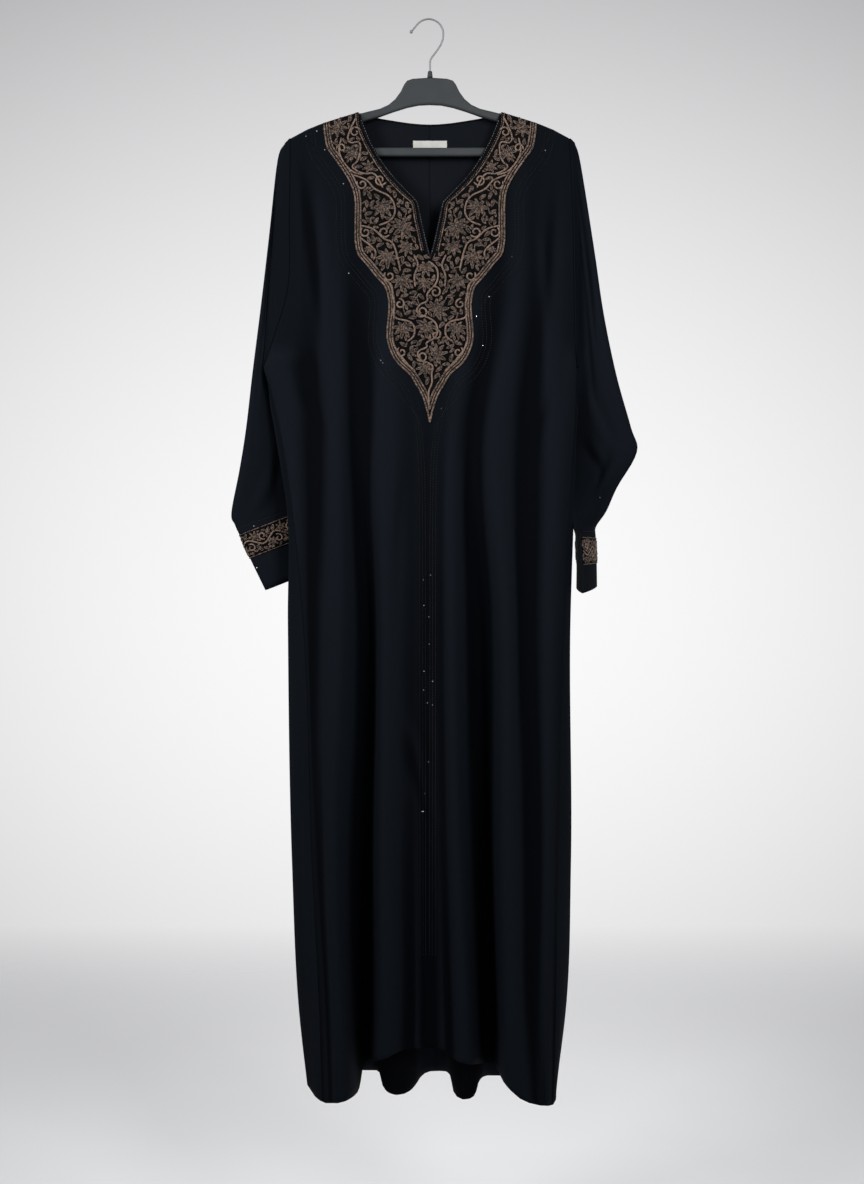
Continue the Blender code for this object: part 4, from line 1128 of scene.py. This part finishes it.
# %% Borders of the yoke
YOKE_LIFT = 1.6
SLIT_END = 352
STRANDS = ((1.6, 2.8), (5.4, 2.2), (9.1, 2.6))  # distance from the edge, width
yoke_pile = Pile()
for side in (-1, 1):
    needle = Needle(yoke_pile, CHEST, YOKE_LIFT, mirror=side)
    for distance, width in STRANDS:
        strand = moved_in(OUTER_EDGE, distance)
        needle.line(strand[strand[:, 0] > -0.3], width, 1.7, step=3.0)
    upper = INNER_EDGE[:, 1] < SLIT_END
    needle.line(moved_in(INNER_EDGE, -4.6)[upper], 1.7, 1.3, step=2.6)
    dots = resampled(moved_in(INNER_EDGE, -1.9)[upper], 3.4)
    for start, end in zip(dots[:-1], dots[1:]):
        needle.line([start, start + (end - start) * 0.35, start + (end - start) * 0.6], 1.3, 1.1, step=1.2, sides=4)

# %% [markdown]
# ## What grows on the yoke
# The legs carry the same garden on both sides, mirrored, with small changes so that it looks sewn by
# hand. A vine winds down each leg between the flowers, and another goes down the middle, below the slit.

# %% Table of motifs
# The last number of a flower is its count of petals, and that of a scroll is which way it curls.
Motif = namedtuple("Motif", "kind u v size turn extra")
LEG_MOTIFS = (
    Motif("flower", 133, 168, 14, 150, 6),
    Motif("scroll", 112, 172, 8.5, 200, 1),
    Motif("flower", 113, 202, 14.5, 60, 6),
    Motif("scroll", 132, 196, 7.5, 20, -1),
    Motif("flower", 88, 222, 9, 330, 5),
    Motif("scroll", 101, 250, 8.5, 330, 1),
    Motif("scroll", 74, 244, 9.5, 160, -1),
    Motif("flower", 64, 290, 15.5, 110, 7),
    Motif("scroll", 96, 322, 8.5, 300, 1),
    Motif("scroll", 68, 322, 9, 150, -1),
    Motif("flower", 42, 320, 16, 60, 7),
    Motif("flower", 92, 344, 13, 100, 6),
    Motif("flower", 65, 362, 15, 70, 7),
    Motif("flower", 32, 344, 12, 60, 6),
    Motif("scroll", 60, 388, 8.5, 320, 1),
    Motif("flower", 40, 396, 14, 110, 7),
    Motif("scroll", 45, 430, 8, 280, -1),
    Motif("flower", 39, 466, 14, 100, 6),
    Motif("scroll", 42, 502, 8, 300, 1),
)
MIDDLE_MOTIFS = (
    Motif("flower", -4, 374, 12, 90, 6),
    Motif("flower", -14, 399, 14.5, 110, 7),
    Motif("scroll", 8, 412, 9, 250, 1),
    Motif("flower", 10, 434, 15, 330, 7),
    Motif("scroll", -12, 441, 9.5, 150, -1),
    Motif("flower", -12, 471, 14.5, 110, 7),
    Motif("scroll", 9, 476, 8.5, 260, 1),
    Motif("flower", 9, 501, 14, 330, 7),
    Motif("scroll", -12, 508, 9, 160, -1),
    Motif("flower", -8, 534, 12, 110, 6),
)
print("motifs:", 2 * len(LEG_MOTIFS) + len(MIDDLE_MOTIFS))

# %% Table of vines
LEG_VINES = (
    ((110, 150), (124, 178), (120, 190), (102, 184), (106, 216), (120, 224), (98, 236), (82, 232), (70, 256)),
    ((132, 180), (138, 204), (118, 232), (100, 236)),
    ((114, 236), (92, 244), (84, 258), (58, 268), (50, 290), (58, 306), (76, 312)),
    ((104, 312), (84, 316), (68, 334), (56, 336), (50, 352), (44, 380)),
    ((104, 330), (78, 350), (84, 364)),
    ((70, 392), (56, 400), (56, 420), (52, 430)),
    ((24, 356), (16, 372), (24, 386), (22, 404)),
    ((54, 436), (56, 452), (24, 456), (22, 478), (34, 486)),
    ((56, 480), (54, 494), (34, 520), (22, 530)),
)
MIDDLE_VINE = ((-2, 366), (12, 376), (12, 398), (-6, 414), (-2, 426), (-16, 430), (-22, 444), (4, 452))
MIDDLE_VINE += ((12, 464), (10, 480), (-8, 488), (-2, 494), (-20, 500), (-16, 514), (6, 520), (2, 534))
MIDDLE_VINE += ((4, 548), (-3, 560), (-1, 588))


print("vines:", 2 * len(LEG_VINES) + 1)


# %% Leaves for the gaps
SPOT_STEP = 1.25
FLOWER_SHIFT = 6.0
FLOWER_SHARE = 0.92
LONGEST_LEAF = 12.0
STALK_ROOM = 2.6


class Filler:
    """Finds the widest bare places of a flat region, and fills them with leaves and sprigs."""

    def __init__(self, spots, taken, seed):
        self.spots, self.room = np.asarray(spots, float), np.full(len(spots), 99.0)
        self.near = np.zeros_like(self.spots)
        self.chance = np.random.default_rng(seed)
        self.cover(taken)

    def cover(self, taken):
        """Keeps, for each spot, its room and the nearest taken place."""
        for u, v, half in taken:
            away = np.hypot(*(self.spots - (u, v)).T) - half
            closer = away < self.room
            self.room[closer] = away[closer]
            self.near[closer] = (u, v)

    def room_at(self, point):
        """The room at the spot beside a point, or none where the point is outside."""
        away = np.hypot(*(self.spots - point).T)
        return self.room[away.argmin()] if away.min() < 1.6 else 0.0

    def best_turn(self, centre, half_length):
        """The direction along which a motif of this half length has the most room."""
        turns = np.arange(0, 180, 15) + self.chance.uniform(-7, 7)
        ends = [turned([(-half_length, 0), (half_length, 0)], centre, turn) for turn in turns]
        return turns[int(np.argmax([min(self.room_at(a), self.room_at(b)) for a, b in ends]))]

    def bloom(self, needle, motif, side=1):
        """A flower near its place in the table, where there is most room, and as large as fits."""
        wanted = np.array([motif.u * side, motif.v])
        away = np.hypot(*(self.spots - wanted).T)
        best = np.where(away < FLOWER_SHIFT, self.room, -1).argmax()
        centre, room = self.spots[best], self.room[best]
        radius = min(motif.size * FLOWER_SHARE, room)
        before = len(needle.taken)
        needle.flower(*centre, radius, motif.extra, motif.turn)
        self.cover(needle.taken[before:])

    def fill(self, needle, least, most):
        """Places leaves, the widest gap first, until no gap is wider than twice the least room."""
        for count in range(most):
            centre, room, near = (values[self.room.argmax()] for values in (self.spots, self.room, self.near))
            if room < least:
                break
            before = len(needle.taken)
            turn = self.best_turn(centre, room * 0.8)
            towards = turned([(1, 0)], (0, 0), turn)[0] @ (centre - near)
            turn += 0 if towards > 0 else 180
            length = min(room * 2.3, LONGEST_LEAF)
            foot = turned([(-length / 2, 0)], centre, turn)[0]
            if room > STALK_ROOM:
                needle.line([near, (near + foot) / 2, foot], 1.4, 1.3, step=1.6, sides=4)
            needle.petal(*foot, length, turn, min(length * 0.44, room * 1.05), self.chance.uniform(-0.12, 0.12))
            self.cover(needle.taken[before:])
        print("filled", count, "gaps; the widest one left is", round(float(self.room.max()), 1), "mm each way")


# %% Spots where a leaf may grow
def grid_spots(across, down):
    """Flat spots a step apart over a rectangle."""
    return np.stack(np.meshgrid(np.arange(*across, SPOT_STEP), np.arange(*down, SPOT_STEP)), axis=-1).reshape(-1, 2)


def within(points, outline):
    """Which of the flat points lie inside a closed outline."""
    points, start = np.asarray(points, float), np.asarray(outline, float)
    end = np.roll(start, -1, axis=0)
    u, v = points[:, :1], points[:, 1:]
    spans = (start[:, 1] > v) != (end[:, 1] > v)
    rise = np.where(end[:, 1] == start[:, 1], 1, end[:, 1] - start[:, 1])
    cross = (end[:, 0] - start[:, 0]) * (v - start[:, 1]) / rise + start[:, 0]
    return (spans & (u < cross)).sum(axis=1) % 2 == 1


# %% Vines and scrolls of the yoke
BORDER_WIDTH = 11.2
NECK_EDGE_WIDTH = 6.4
FIELD_END = 582


def sew_stems(needle, vines, motifs):
    """Vines and scrolls, which the flowers and leaves then grow round."""
    for vine in vines:
        needle.vine(vine)
    for motif in motifs:
        if motif.kind == "scroll":
            needle.scroll(motif.u, motif.v, motif.size, motif.turn, motif.extra)
    return needle.taken


taken = []
for side in (-1, 1):
    taken += sew_stems(Needle(yoke_pile, CHEST, YOKE_LIFT, mirror=side), LEG_VINES, LEG_MOTIFS)
needle = Needle(yoke_pile, CHEST, YOKE_LIFT)
sew_stems(needle, [MIDDLE_VINE], MIDDLE_MOTIFS)
neck = moved_in(INNER_EDGE, -NECK_EDGE_WIDTH)
neck[INNER_EDGE[:, 1] > SLIT_END, 0] = 0
field = np.concatenate([moved_in(OUTER_EDGE, BORDER_WIDTH), neck[::-1]])
field = field[(field[:, 0] > -1) & (field[:, 1] < FIELD_END)]

# %% Flowers and leaves of the yoke
spots = grid_spots((-165, 165), (120, 600))
spots = spots[within(np.abs(spots * (1, 0)) + spots * (0, 1), field)]
edges = [(side * u, v, 0.3) for side in (-1, 1) for u, v in resampled(field, 2.0, True) if u > 1.5]
filler = Filler(spots, [*edges, *taken, *needle.taken], 5)
for motif in MIDDLE_MOTIFS:
    if motif.kind == "flower":
        filler.bloom(needle, motif)
for motif in LEG_MOTIFS:
    if motif.kind == "flower":
        filler.bloom(needle, motif)
        filler.bloom(needle, motif._replace(turn=180 - motif.turn), -1)
filler.fill(needle, 3.3, 420)
yoke_cords = yoke_pile.sewn("yoke_cords", BRONZE, ["yoke"], "embroidery")

# %% [markdown]
# ## The cuff bands
# The same thread goes round each sleeve above its cuff. The band of cloth between two rings of the sleeve
# becomes a ground of its own, so the same motifs can be sewn on it. The right cuff hangs edge-on, and its
# side towards the body shows plain cloth, so its band starts beyond that side.


# %% The ground of a cuff band
def band_ground(grid, rings, side, top="band_top", bottom="band_bottom", bare=0.0):
    """The sleeve between two rings, opened at the under seam. bare leaves out its first millimetres."""
    names = [ring.name for ring in rings]
    first, last = (2 + names.index(name) * RINGS_BETWEEN for name in (top, bottom))
    strip = np.roll(grid[first : last + 1], 1 - len(SHARES), axis=1)
    strip = np.concatenate([strip, strip[:, :1]], axis=1)
    around = np.linalg.norm(np.diff(strip[len(strip) // 2], axis=0), axis=1)
    u = np.concatenate([[0], np.cumsum(around)])
    down = np.linalg.norm(np.diff(strip[:, len(u) // 3], axis=0), axis=1)
    v = np.concatenate([[0], np.cumsum(down)])
    sewn = u >= bare
    return Ground(strip[:, sewn], u[sewn] - u[sewn][0], v, -side)


# %% Sew a cuff band
BAND_COLUMNS, BAND_ROWS = 90, 9
REPEAT = 44
RIGHT_CUFF_SIDE = 76.0


def cuff_ground(name, ground, side):
    """The black net of a band, a little above the sleeve."""
    width, height = ground.u[-1], ground.v[-1]
    columns = np.linspace(2, width - 2, BAND_COLUMNS)
    flat = np.stack(np.meshgrid(columns, np.linspace(0.5, height - 0.5, BAND_ROWS)), axis=-1).reshape(-1, 2)
    place, normal = ground.at(flat)
    base = Pile()
    base.add(place + normal * 1.0, grid_faces(BAND_ROWS, BAND_COLUMNS, flip=side > 0), flat)
    made = base.sewn(f"cuff_ground_{name}", YOKE_GROUND, [f"cuff_band_{name}"], "embroidery")
    return thicken(made, 0.7)


def cuff_band(name, grid, rings, side, bare=0.0):
    """A waving vine with scrolls, flowers in its bends, and leaves in the gaps, between two strands."""
    ground = band_ground(grid, rings, side, bare=bare)
    cuff_ground(name, ground, side)
    width, height = ground.u[-1], ground.v[-1]
    middle = height / 2
    pile = Pile()
    needle = Needle(pile, ground, YOKE_LIFT)
    for v in (0.9, height - 0.9):
        needle.line([(2, v), (width - 2, v)], 1.2, 1.2, step=3.0)
    repeats = int(width // REPEAT)
    repeat = (width - 6) / repeats
    starts = [3 + number * repeat for number in range(repeats)]
    route = [(3, middle)]
    for u in starts:
        route += [(u + repeat * share, middle + rise) for share, rise in ((0.25, -8), (0.5, 0), (0.75, 8), (1, 0))]
        needle.scroll(u + repeat * 0.3, middle + 6, 6.5, 250)
        needle.scroll(u + repeat * 0.8, middle - 6, 6.5, 70)
    needle.vine(route)
    edges = [(u, v, 0.4) for u in np.arange(0, width, 2) for v in (2, height - 2)]
    filler = Filler(grid_spots((3, width - 3), (3, height - 3)), [*needle.taken, *edges], 7)
    for number, u in enumerate(starts):
        filler.bloom(needle, Motif("flower", u + repeat * 0.06, middle + 8, 9, 300 + 40 * number, 5))
        filler.bloom(needle, Motif("flower", u + repeat * 0.56, middle - 8, 9, 120 + 40 * number, 5))
    filler.fill(needle, 2.3, 120)
    return pile.sewn(f"cuff_cords_{name}", BRONZE, [f"cuff_band_{name}"], "embroidery")


cuff_band("left", left_grid, LEFT_RINGS, -1)
cuff_band("right", right_grid, RIGHT_RINGS, 1, bare=RIGHT_CUFF_SIDE)

# %% [markdown]
# ## Black stitching and stones
# Lines of shiny black stitches follow the yoke at a short distance, meet below its point, and run down the
# middle of the front. Small glass stones are set here and there. Both are geometry: each stitch is a short
# bead of thread, and each stone has facets.

# %% Stitched lines
STITCH = 2.5
STITCH_EVERY = 3.9
STITCH_LIFT = 0.75
stitch_pile = Pile()


def stitch_line(ground, route, side=1):
    """Single stitches along a flat route, which is mirrored for the left side."""
    dots = resampled(np.asarray(route, float) * (side, 1), STITCH_EVERY)
    for start, end in zip(dots[:-1], dots[1:]):
        way = (end - start) / np.linalg.norm(end - start) * STITCH
        bead = [start, start + way / 2, start + way]
        cord(stitch_pile, ground, bead, 1.15, 0.8, STITCH_LIFT, step=1.2, sides=4)


OUT_LINES = ((-14, 11.5), (-19.5, 7.0), (-27, 3.0))  # distance from the yoke, then from the middle below it
for side, shift in ((-1, -4.0), (1, -3.0)):
    for distance, centre in OUT_LINES:
        around = moved_in(OUTER_EDGE, distance)
        around = around[(OUTER_EDGE[:, 1] > 170) & (OUTER_EDGE[:, 1] < 560)]
        below = [(centre + 9, 602), (centre + 3, 640), (centre, 700), (centre, 1000), (centre - 0.5, 1395)]
        route = softened(np.concatenate([around, np.array(below)]), 1)
        route[:, 0] += shift * side * np.clip((route[:, 1] - 560) / 80, 0, 1)
        stitch_line(CHEST, route, side)
for grid, rings, side in ((left_grid, LEFT_RINGS, -1), (right_grid, RIGHT_RINGS, 1)):
    above = band_ground(grid, rings, side, "above_band", "band_top")
    line = above.v[-1] * 0.45
    stitch_line(above, [(2, line), (above.u[-1] - 2, line)])
stitch_pile.sewn("stitched_lines", BLACK_THREAD)


# %% Stones on the front
# Across, drop and radius.
STONES = (
    (-169, 170, 1.5), (-185, 178, 1.2), (-157, 198, 1.4), (-129, 249, 1.3), (-121, 383, 1.5), (172, 199, 1.3),
    (88, 418, 1.5), (69, 448, 1.2), (79, 491, 1.2), (-73, 514, 1.4), (-70, 518, 1.2), (17, 586, 1.2),
    (122, 359, 1.2), (1, 833, 1.3), (-10, 840, 1.2), (-9, 878, 1.5), (-1.5, 895, 1.2), (-1, 935, 1.2),
    (-9, 975, 1.4), (4, 990, 1.4), (-9.5, 1003, 1.3), (-3.5, 1022, 1.2), (4, 1025, 1.3), (-2, 1109, 1.2),
    (-7.5, 1156, 1.2), (-10.5, 1182, 1.3),
)
SLEEVE_STONES = ((left_grid, -271, 758, 1.5), (left_grid, -262.5, 825, 1.5), (right_grid, 259.5, 716, 1.2))
STONE_SCALE = 0.72
STONE_RINGS = ((0.75, 0.35), (1.0, 0.8), (0.55, 1.5))  # share of the radius, then height
FACETS = 8
print("stones:", len(STONES) + len(SLEEVE_STONES))


# %% One stone
def stone_finish():
    finish = Finish("cut_glass", Metallic=0.85, IOR=1.6)
    tint = finish.noise(finish.place(), 300, 0.0)
    colour = finish.ramp(tint, [(0.3, (0.35, 0.37, 0.42)), (0.7, (0.85, 0.86, 0.9))])
    return finish.shade(Base_Color=colour, Roughness=0.12 + tint * 0.1)


def stone(pile, centre, up, radius):
    """A round cut stone: a girdle, a bevel and a flat table."""
    side = np.cross(up, (0, 0, 1.0))
    side /= np.linalg.norm(side)
    other = np.cross(up, side)
    angles = 2 * math.pi * np.arange(FACETS) / FACETS
    ring = np.cos(angles)[:, None] * side + np.sin(angles)[:, None] * other
    rows = [centre + ring * radius * STONE_SCALE * size + up * height * STONE_SCALE for size, height in STONE_RINGS]
    pile.add(np.array(rows), capped_faces(len(rows), FACETS), np.zeros((len(rows) * FACETS, 2)))


# %% Set the stones
def cell_at(grid, across, drop):
    """Row and column of the sleeve's front that is seen at a place."""
    behind = np.maximum(grid[..., 1] - grid[..., 1].mean(axis=1, keepdims=True), 0)
    away = np.hypot(grid[..., 0] - across, grid[..., 2] - drop) + behind * 9
    inner = away[:-1, 1:-1]
    return np.unravel_index(inner.argmin(), inner.shape)


stone_pile = Pile()
for u, v, radius in STONES:
    place, normal = CHEST.at([(u, v)])
    stone(stone_pile, place[0], normal[0], radius)
for grid, across, drop, radius in SLEEVE_STONES:
    row, column = cell_at(grid, across, drop)
    down, beside = grid[row + 1, column + 1] - grid[row, column + 1], grid[row, column + 2] - grid[row, column]
    up = np.cross(beside, down)
    up *= (-1 if up[1] > 0 else 1) / np.linalg.norm(up)
    stone(stone_pile, grid[row, column + 1] + up * CLOTH / 2, up, radius)
stones = stone_pile.sewn("glass_stones", stone_finish())
stones.data.shade_flat()

# %% [markdown]
# ## The bound neck
# A narrow bias strip is folded over the raw edge of the neck and its slit, and held by a line of grey
# stitches. The CAD piece is a plain wire, so a rounder tube is swept along the edge of the finer cloth.


# %% Rings of a tube
def tube(route, radius, sides, closed):
    """Rings of a round tube along a route of (across, depth, drop) points that lies nearly upright."""
    along = np.roll(route, -1, axis=0) - np.roll(route, 1, axis=0)
    if not closed:
        along[0], along[-1] = route[1] - route[0], route[-1] - route[-2]
    along /= np.linalg.norm(along, axis=1, keepdims=True)
    beside = np.cross(along, (0, 1, 0))
    beside /= np.linalg.norm(beside, axis=1, keepdims=True)
    front = np.cross(along, beside)
    angles = 2 * math.pi * np.arange(sides) / sides
    ring = np.cos(angles)[:, None] * beside[:, None] + np.sin(angles)[:, None] * front[:, None]
    return route[:, None] + ring * radius


# %% Where the binding runs
BINDING_IN = 0.9
BINDING_RADIUS = 1.75
BINDING_SIDES = 10


def binding_route(edge, step):
    """The middle of the binding beside one neck edge, a little way into the opening."""
    edge = edge[np.abs(edge[:, 0]) < NECK_POINT - 0.3]
    along = np.gradient(edge, axis=0)[:, [0, 2]]
    along /= np.linalg.norm(along, axis=1, keepdims=True)
    edge[:, 0] += along[:, 1] * BINDING_IN
    edge[:, 2] -= along[:, 0] * BINDING_IN
    return resampled(edge, step)


front_neck = binding_route(front_grid[0], 2.0)
back_neck = binding_route(np.concatenate([back_left_grid[0], back_right_grid[0][1:]]), 4.0)
loop = np.concatenate([front_neck, back_neck[::-1]])
print("binding points:", len(loop))


# %% The binding and its stitches
def binding_finish():
    finish = Finish("bound_edge", Specular_IOR_Level=0.05)
    twill = finish.node("TexWave", {"bands_direction": "DIAGONAL"}, {"Vector": finish.place(), "Scale": 260.0})
    colour = finish.ramp(twill, [(0.2, (0.0010, 0.0012, 0.0020)), (0.8, (0.0045, 0.0047, 0.0060))])
    return finish.shade(Base_Color=colour, Roughness=0.72, Normal=finish.bumped(twill, 0.0003, 0.6))


rings = tube(loop, BINDING_RADIUS, BINDING_SIDES, True)
faces = loop_faces(len(loop), BINDING_SIDES)
piece("binding_cloth", rings, faces, binding_finish(), ["neck_binding"])

edge_stitches = Pile()
edge_line = front_neck + (0, -BINDING_RADIUS * 0.9, 0)
for start, end in zip(edge_line[3:-4:2], edge_line[4:-3:2]):
    ring = tube(np.array([start, (start + end) / 2, end]), 0.42, 5, False)
    edge_stitches.add(ring, capped_faces(3, 5), np.zeros((15, 2)))
GREY_THREAD = thread("grey_thread", (0.020, 0.020, 0.021), (0.17, 0.17, 0.17), 0.5, 0.0)
edge_stitches.sewn("edge_stitches", GREY_THREAD)

# %% [markdown]
# ## Finishes of the parts that CAD already made
# The hanger, its hook and the label keep their CAD shapes. Each gets its own finish: satin plastic with a
# fine moulded grain, drawn steel wire, and a plain woven label.


# %% Plastic, steel and label
def plastic_finish():
    finish = Finish("charcoal_plastic", Specular_IOR_Level=0.30)
    grain = finish.noise(finish.place(), 1800, 2.0)
    cloud = finish.noise(finish.place(), 30, 3.0)
    colour = finish.ramp(cloud, [(0.3, (0.024, 0.0275, 0.0295)), (0.7, (0.031, 0.0345, 0.0365))])
    return finish.shade(
        Base_Color=colour, Roughness=0.40 + grain * 0.12, Normal=finish.bumped(grain, 0.0001, 0.3)
    )


def steel_finish():
    finish = Finish("drawn_steel", Metallic=0.35, Specular_IOR_Level=0.3)
    drawn = finish.noise(finish.stretched((1.0, 1.0, 0.05)), 1400, 3.0)
    colour = finish.ramp(drawn, [(0.3, (0.16, 0.16, 0.165)), (0.7, (0.26, 0.26, 0.27))])
    return finish.shade(Base_Color=colour, Roughness=0.48 + drawn * 0.1)


def label_finish():
    finish = Finish("woven_label", Specular_IOR_Level=0.15)
    weft = finish.node("TexWave", {"bands_direction": "Z"}, {"Vector": finish.place(), "Scale": 420.0})
    stain = finish.noise(finish.place(), 60, 3.0)
    colour = finish.ramp(stain, [(0.3, (0.36, 0.35, 0.325)), (0.7, (0.46, 0.45, 0.43))])
    return finish.shade(Base_Color=colour, Roughness=0.55 + weft * 0.1, Normal=finish.bumped(weft, 0.0002, 0.4))


CAD_FINISHES = {
    plastic_finish(): ("hanger", "hook_collar"),
    steel_finish(): ("hook", "hook_ball"),
    label_finish(): ("label", "size_tab"),
}
for finish, names in CAD_FINISHES.items():
    for name in names:
        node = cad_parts[name]
        node.data.materials.clear()
        node.data.materials.append(finish)
        print(name, "is", finish.name)

# %% [markdown]

# %% [markdown]
# ## Floor and sky
# A plain pale floor and a pale sky stand in for the studio. The sky is brightest behind the garment and
# greyer away from it, and the floor fades into it, so that no line of a horizon crosses the cloth.


# %% Floor
FLOOR_DROP = 1900
FLOOR_REACH = 9000


def floor_finish():
    finish = Finish("pale_floor", Roughness=0.9, Specular_IOR_Level=0.1)
    cloud = finish.noise(finish.place(), 1.3, 3.0)
    colour = finish.ramp(cloud, [(0.3, (0.76, 0.76, 0.77)), (0.7, (0.80, 0.80, 0.81))])
    near = finish.split(finish.place())[1] * -0.6 + 1.3
    near = finish.maths("MAXIMUM", finish.maths("MINIMUM", near, 1.0), 0.0)
    return finish.shade(Base_Color=colour, Alpha=near)


signs = ((-1, -1), (1, -1), (1, 1), (-1, 1))
corners = [(x * FLOOR_REACH * MM, y * FLOOR_REACH * MM, -FLOOR_DROP * MM) for x, y in signs]
floor_mesh = bpy.data.meshes.new("floor")
floor_mesh.from_pydata(corners, [], [(0, 1, 2, 3)])
floor_mesh.materials.append(floor_finish())
floor = bpy.data.objects.new("floor", floor_mesh)
bpy.context.scene.collection.objects.link(floor)

# %% Sky
SKY_MIDDLE, SKY_EDGE, SKY_BEFORE = (0.97, 0.97, 0.98, 1), (0.30, 0.30, 0.31, 1), (0.38, 0.39, 0.40, 1)
sky = bpy.data.worlds.new("studio")
sky.use_nodes = True
studio = Board(sky.node_tree)
aside, ahead, above = studio.split(studio.node("TexCoord", {}, {}, "Generated"))
away = studio.maths("MINIMUM", aside * aside * 2.2 + above * above * 3.6, 1.0)
behind = studio.blend(away, SKY_MIDDLE, SKY_EDGE)
share = studio.node("MapRange", {}, {"From Min": -0.6, "From Max": 0.5, "Value": ahead})
studio.feed(sky.node_tree.nodes["Background"], {"Color": studio.blend(share, SKY_BEFORE, behind)})
bpy.context.scene.world = sky
bpy.context.scene.view_settings.view_transform = "Standard"
print("sky nodes:", len(sky.node_tree.nodes))

# %% [markdown]
# ## Light and camera
# Black cloth needs light that grazes its folds, so one broad soft lamp stands to the front left and a
# weaker one nearly in front. A third lights the floor behind the garment, and a fourth the back. That one
# gives no glints, because they would edge the hanger in white as seen from the front. The camera stands
# where the photograph's did, at the middle of the garment's height.


# %% Lamps
Lamp = namedtuple("Lamp", "name place target size watts spread glints")
LAMPS = (
    Lamp("key", (-1.8, -1.3, 0.2), (0, 0, -0.43), (0.7, 1.2), 7.4, 66, True),
    Lamp("floor_light", (0, 1.4, 0.9), (0, 1.4, -1.9), (3.0, 1.5), 3.4, 90, True),
    Lamp("fill", (1.2, -2.0, 0.15), (0, 0, -0.46), (0.7, 1.2), 6.7, 66, True),
    Lamp("back_light", (0.8, 2.6, 1.6), (0, 0, -0.7), (1.2, 0.7), 20, 66, False),
)
for lamp in LAMPS:
    light = bpy.data.lights.new(lamp.name, "AREA")
    light.shape = "RECTANGLE"
    light.size, light.size_y = lamp.size
    light.energy = lamp.watts
    light.spread = math.radians(lamp.spread)
    stand = bpy.data.objects.new(lamp.name, light)
    stand.location = lamp.place
    stand.visible_glossy = lamp.glints
    stand.rotation_euler = (Vector(lamp.target) - stand.location).to_track_quat("-Z", "Y").to_euler()
    bpy.context.scene.collection.objects.link(stand)
print("lamps:", ", ".join(lamp.name for lamp in LAMPS))

# %% Camera
PIXEL = 1.5
FRAME_HEIGHT = 1184 * PIXEL
SENSOR = 36
camera = bpy.data.objects.new("camera", bpy.data.cameras.new("camera"))
camera.data.sensor_width = SENSOR
camera.data.lens = SENSOR * EYE_DISTANCE / FRAME_HEIGHT
camera.location = (EYE_ACROSS * MM, -EYE_DISTANCE * MM, -EYE_DROP * MM)
camera.rotation_euler = (math.pi / 2, 0, 0)
bpy.context.scene.collection.objects.link(camera)
bpy.context.scene.camera = camera
print("lens:", round(camera.data.lens, 1), "mm")
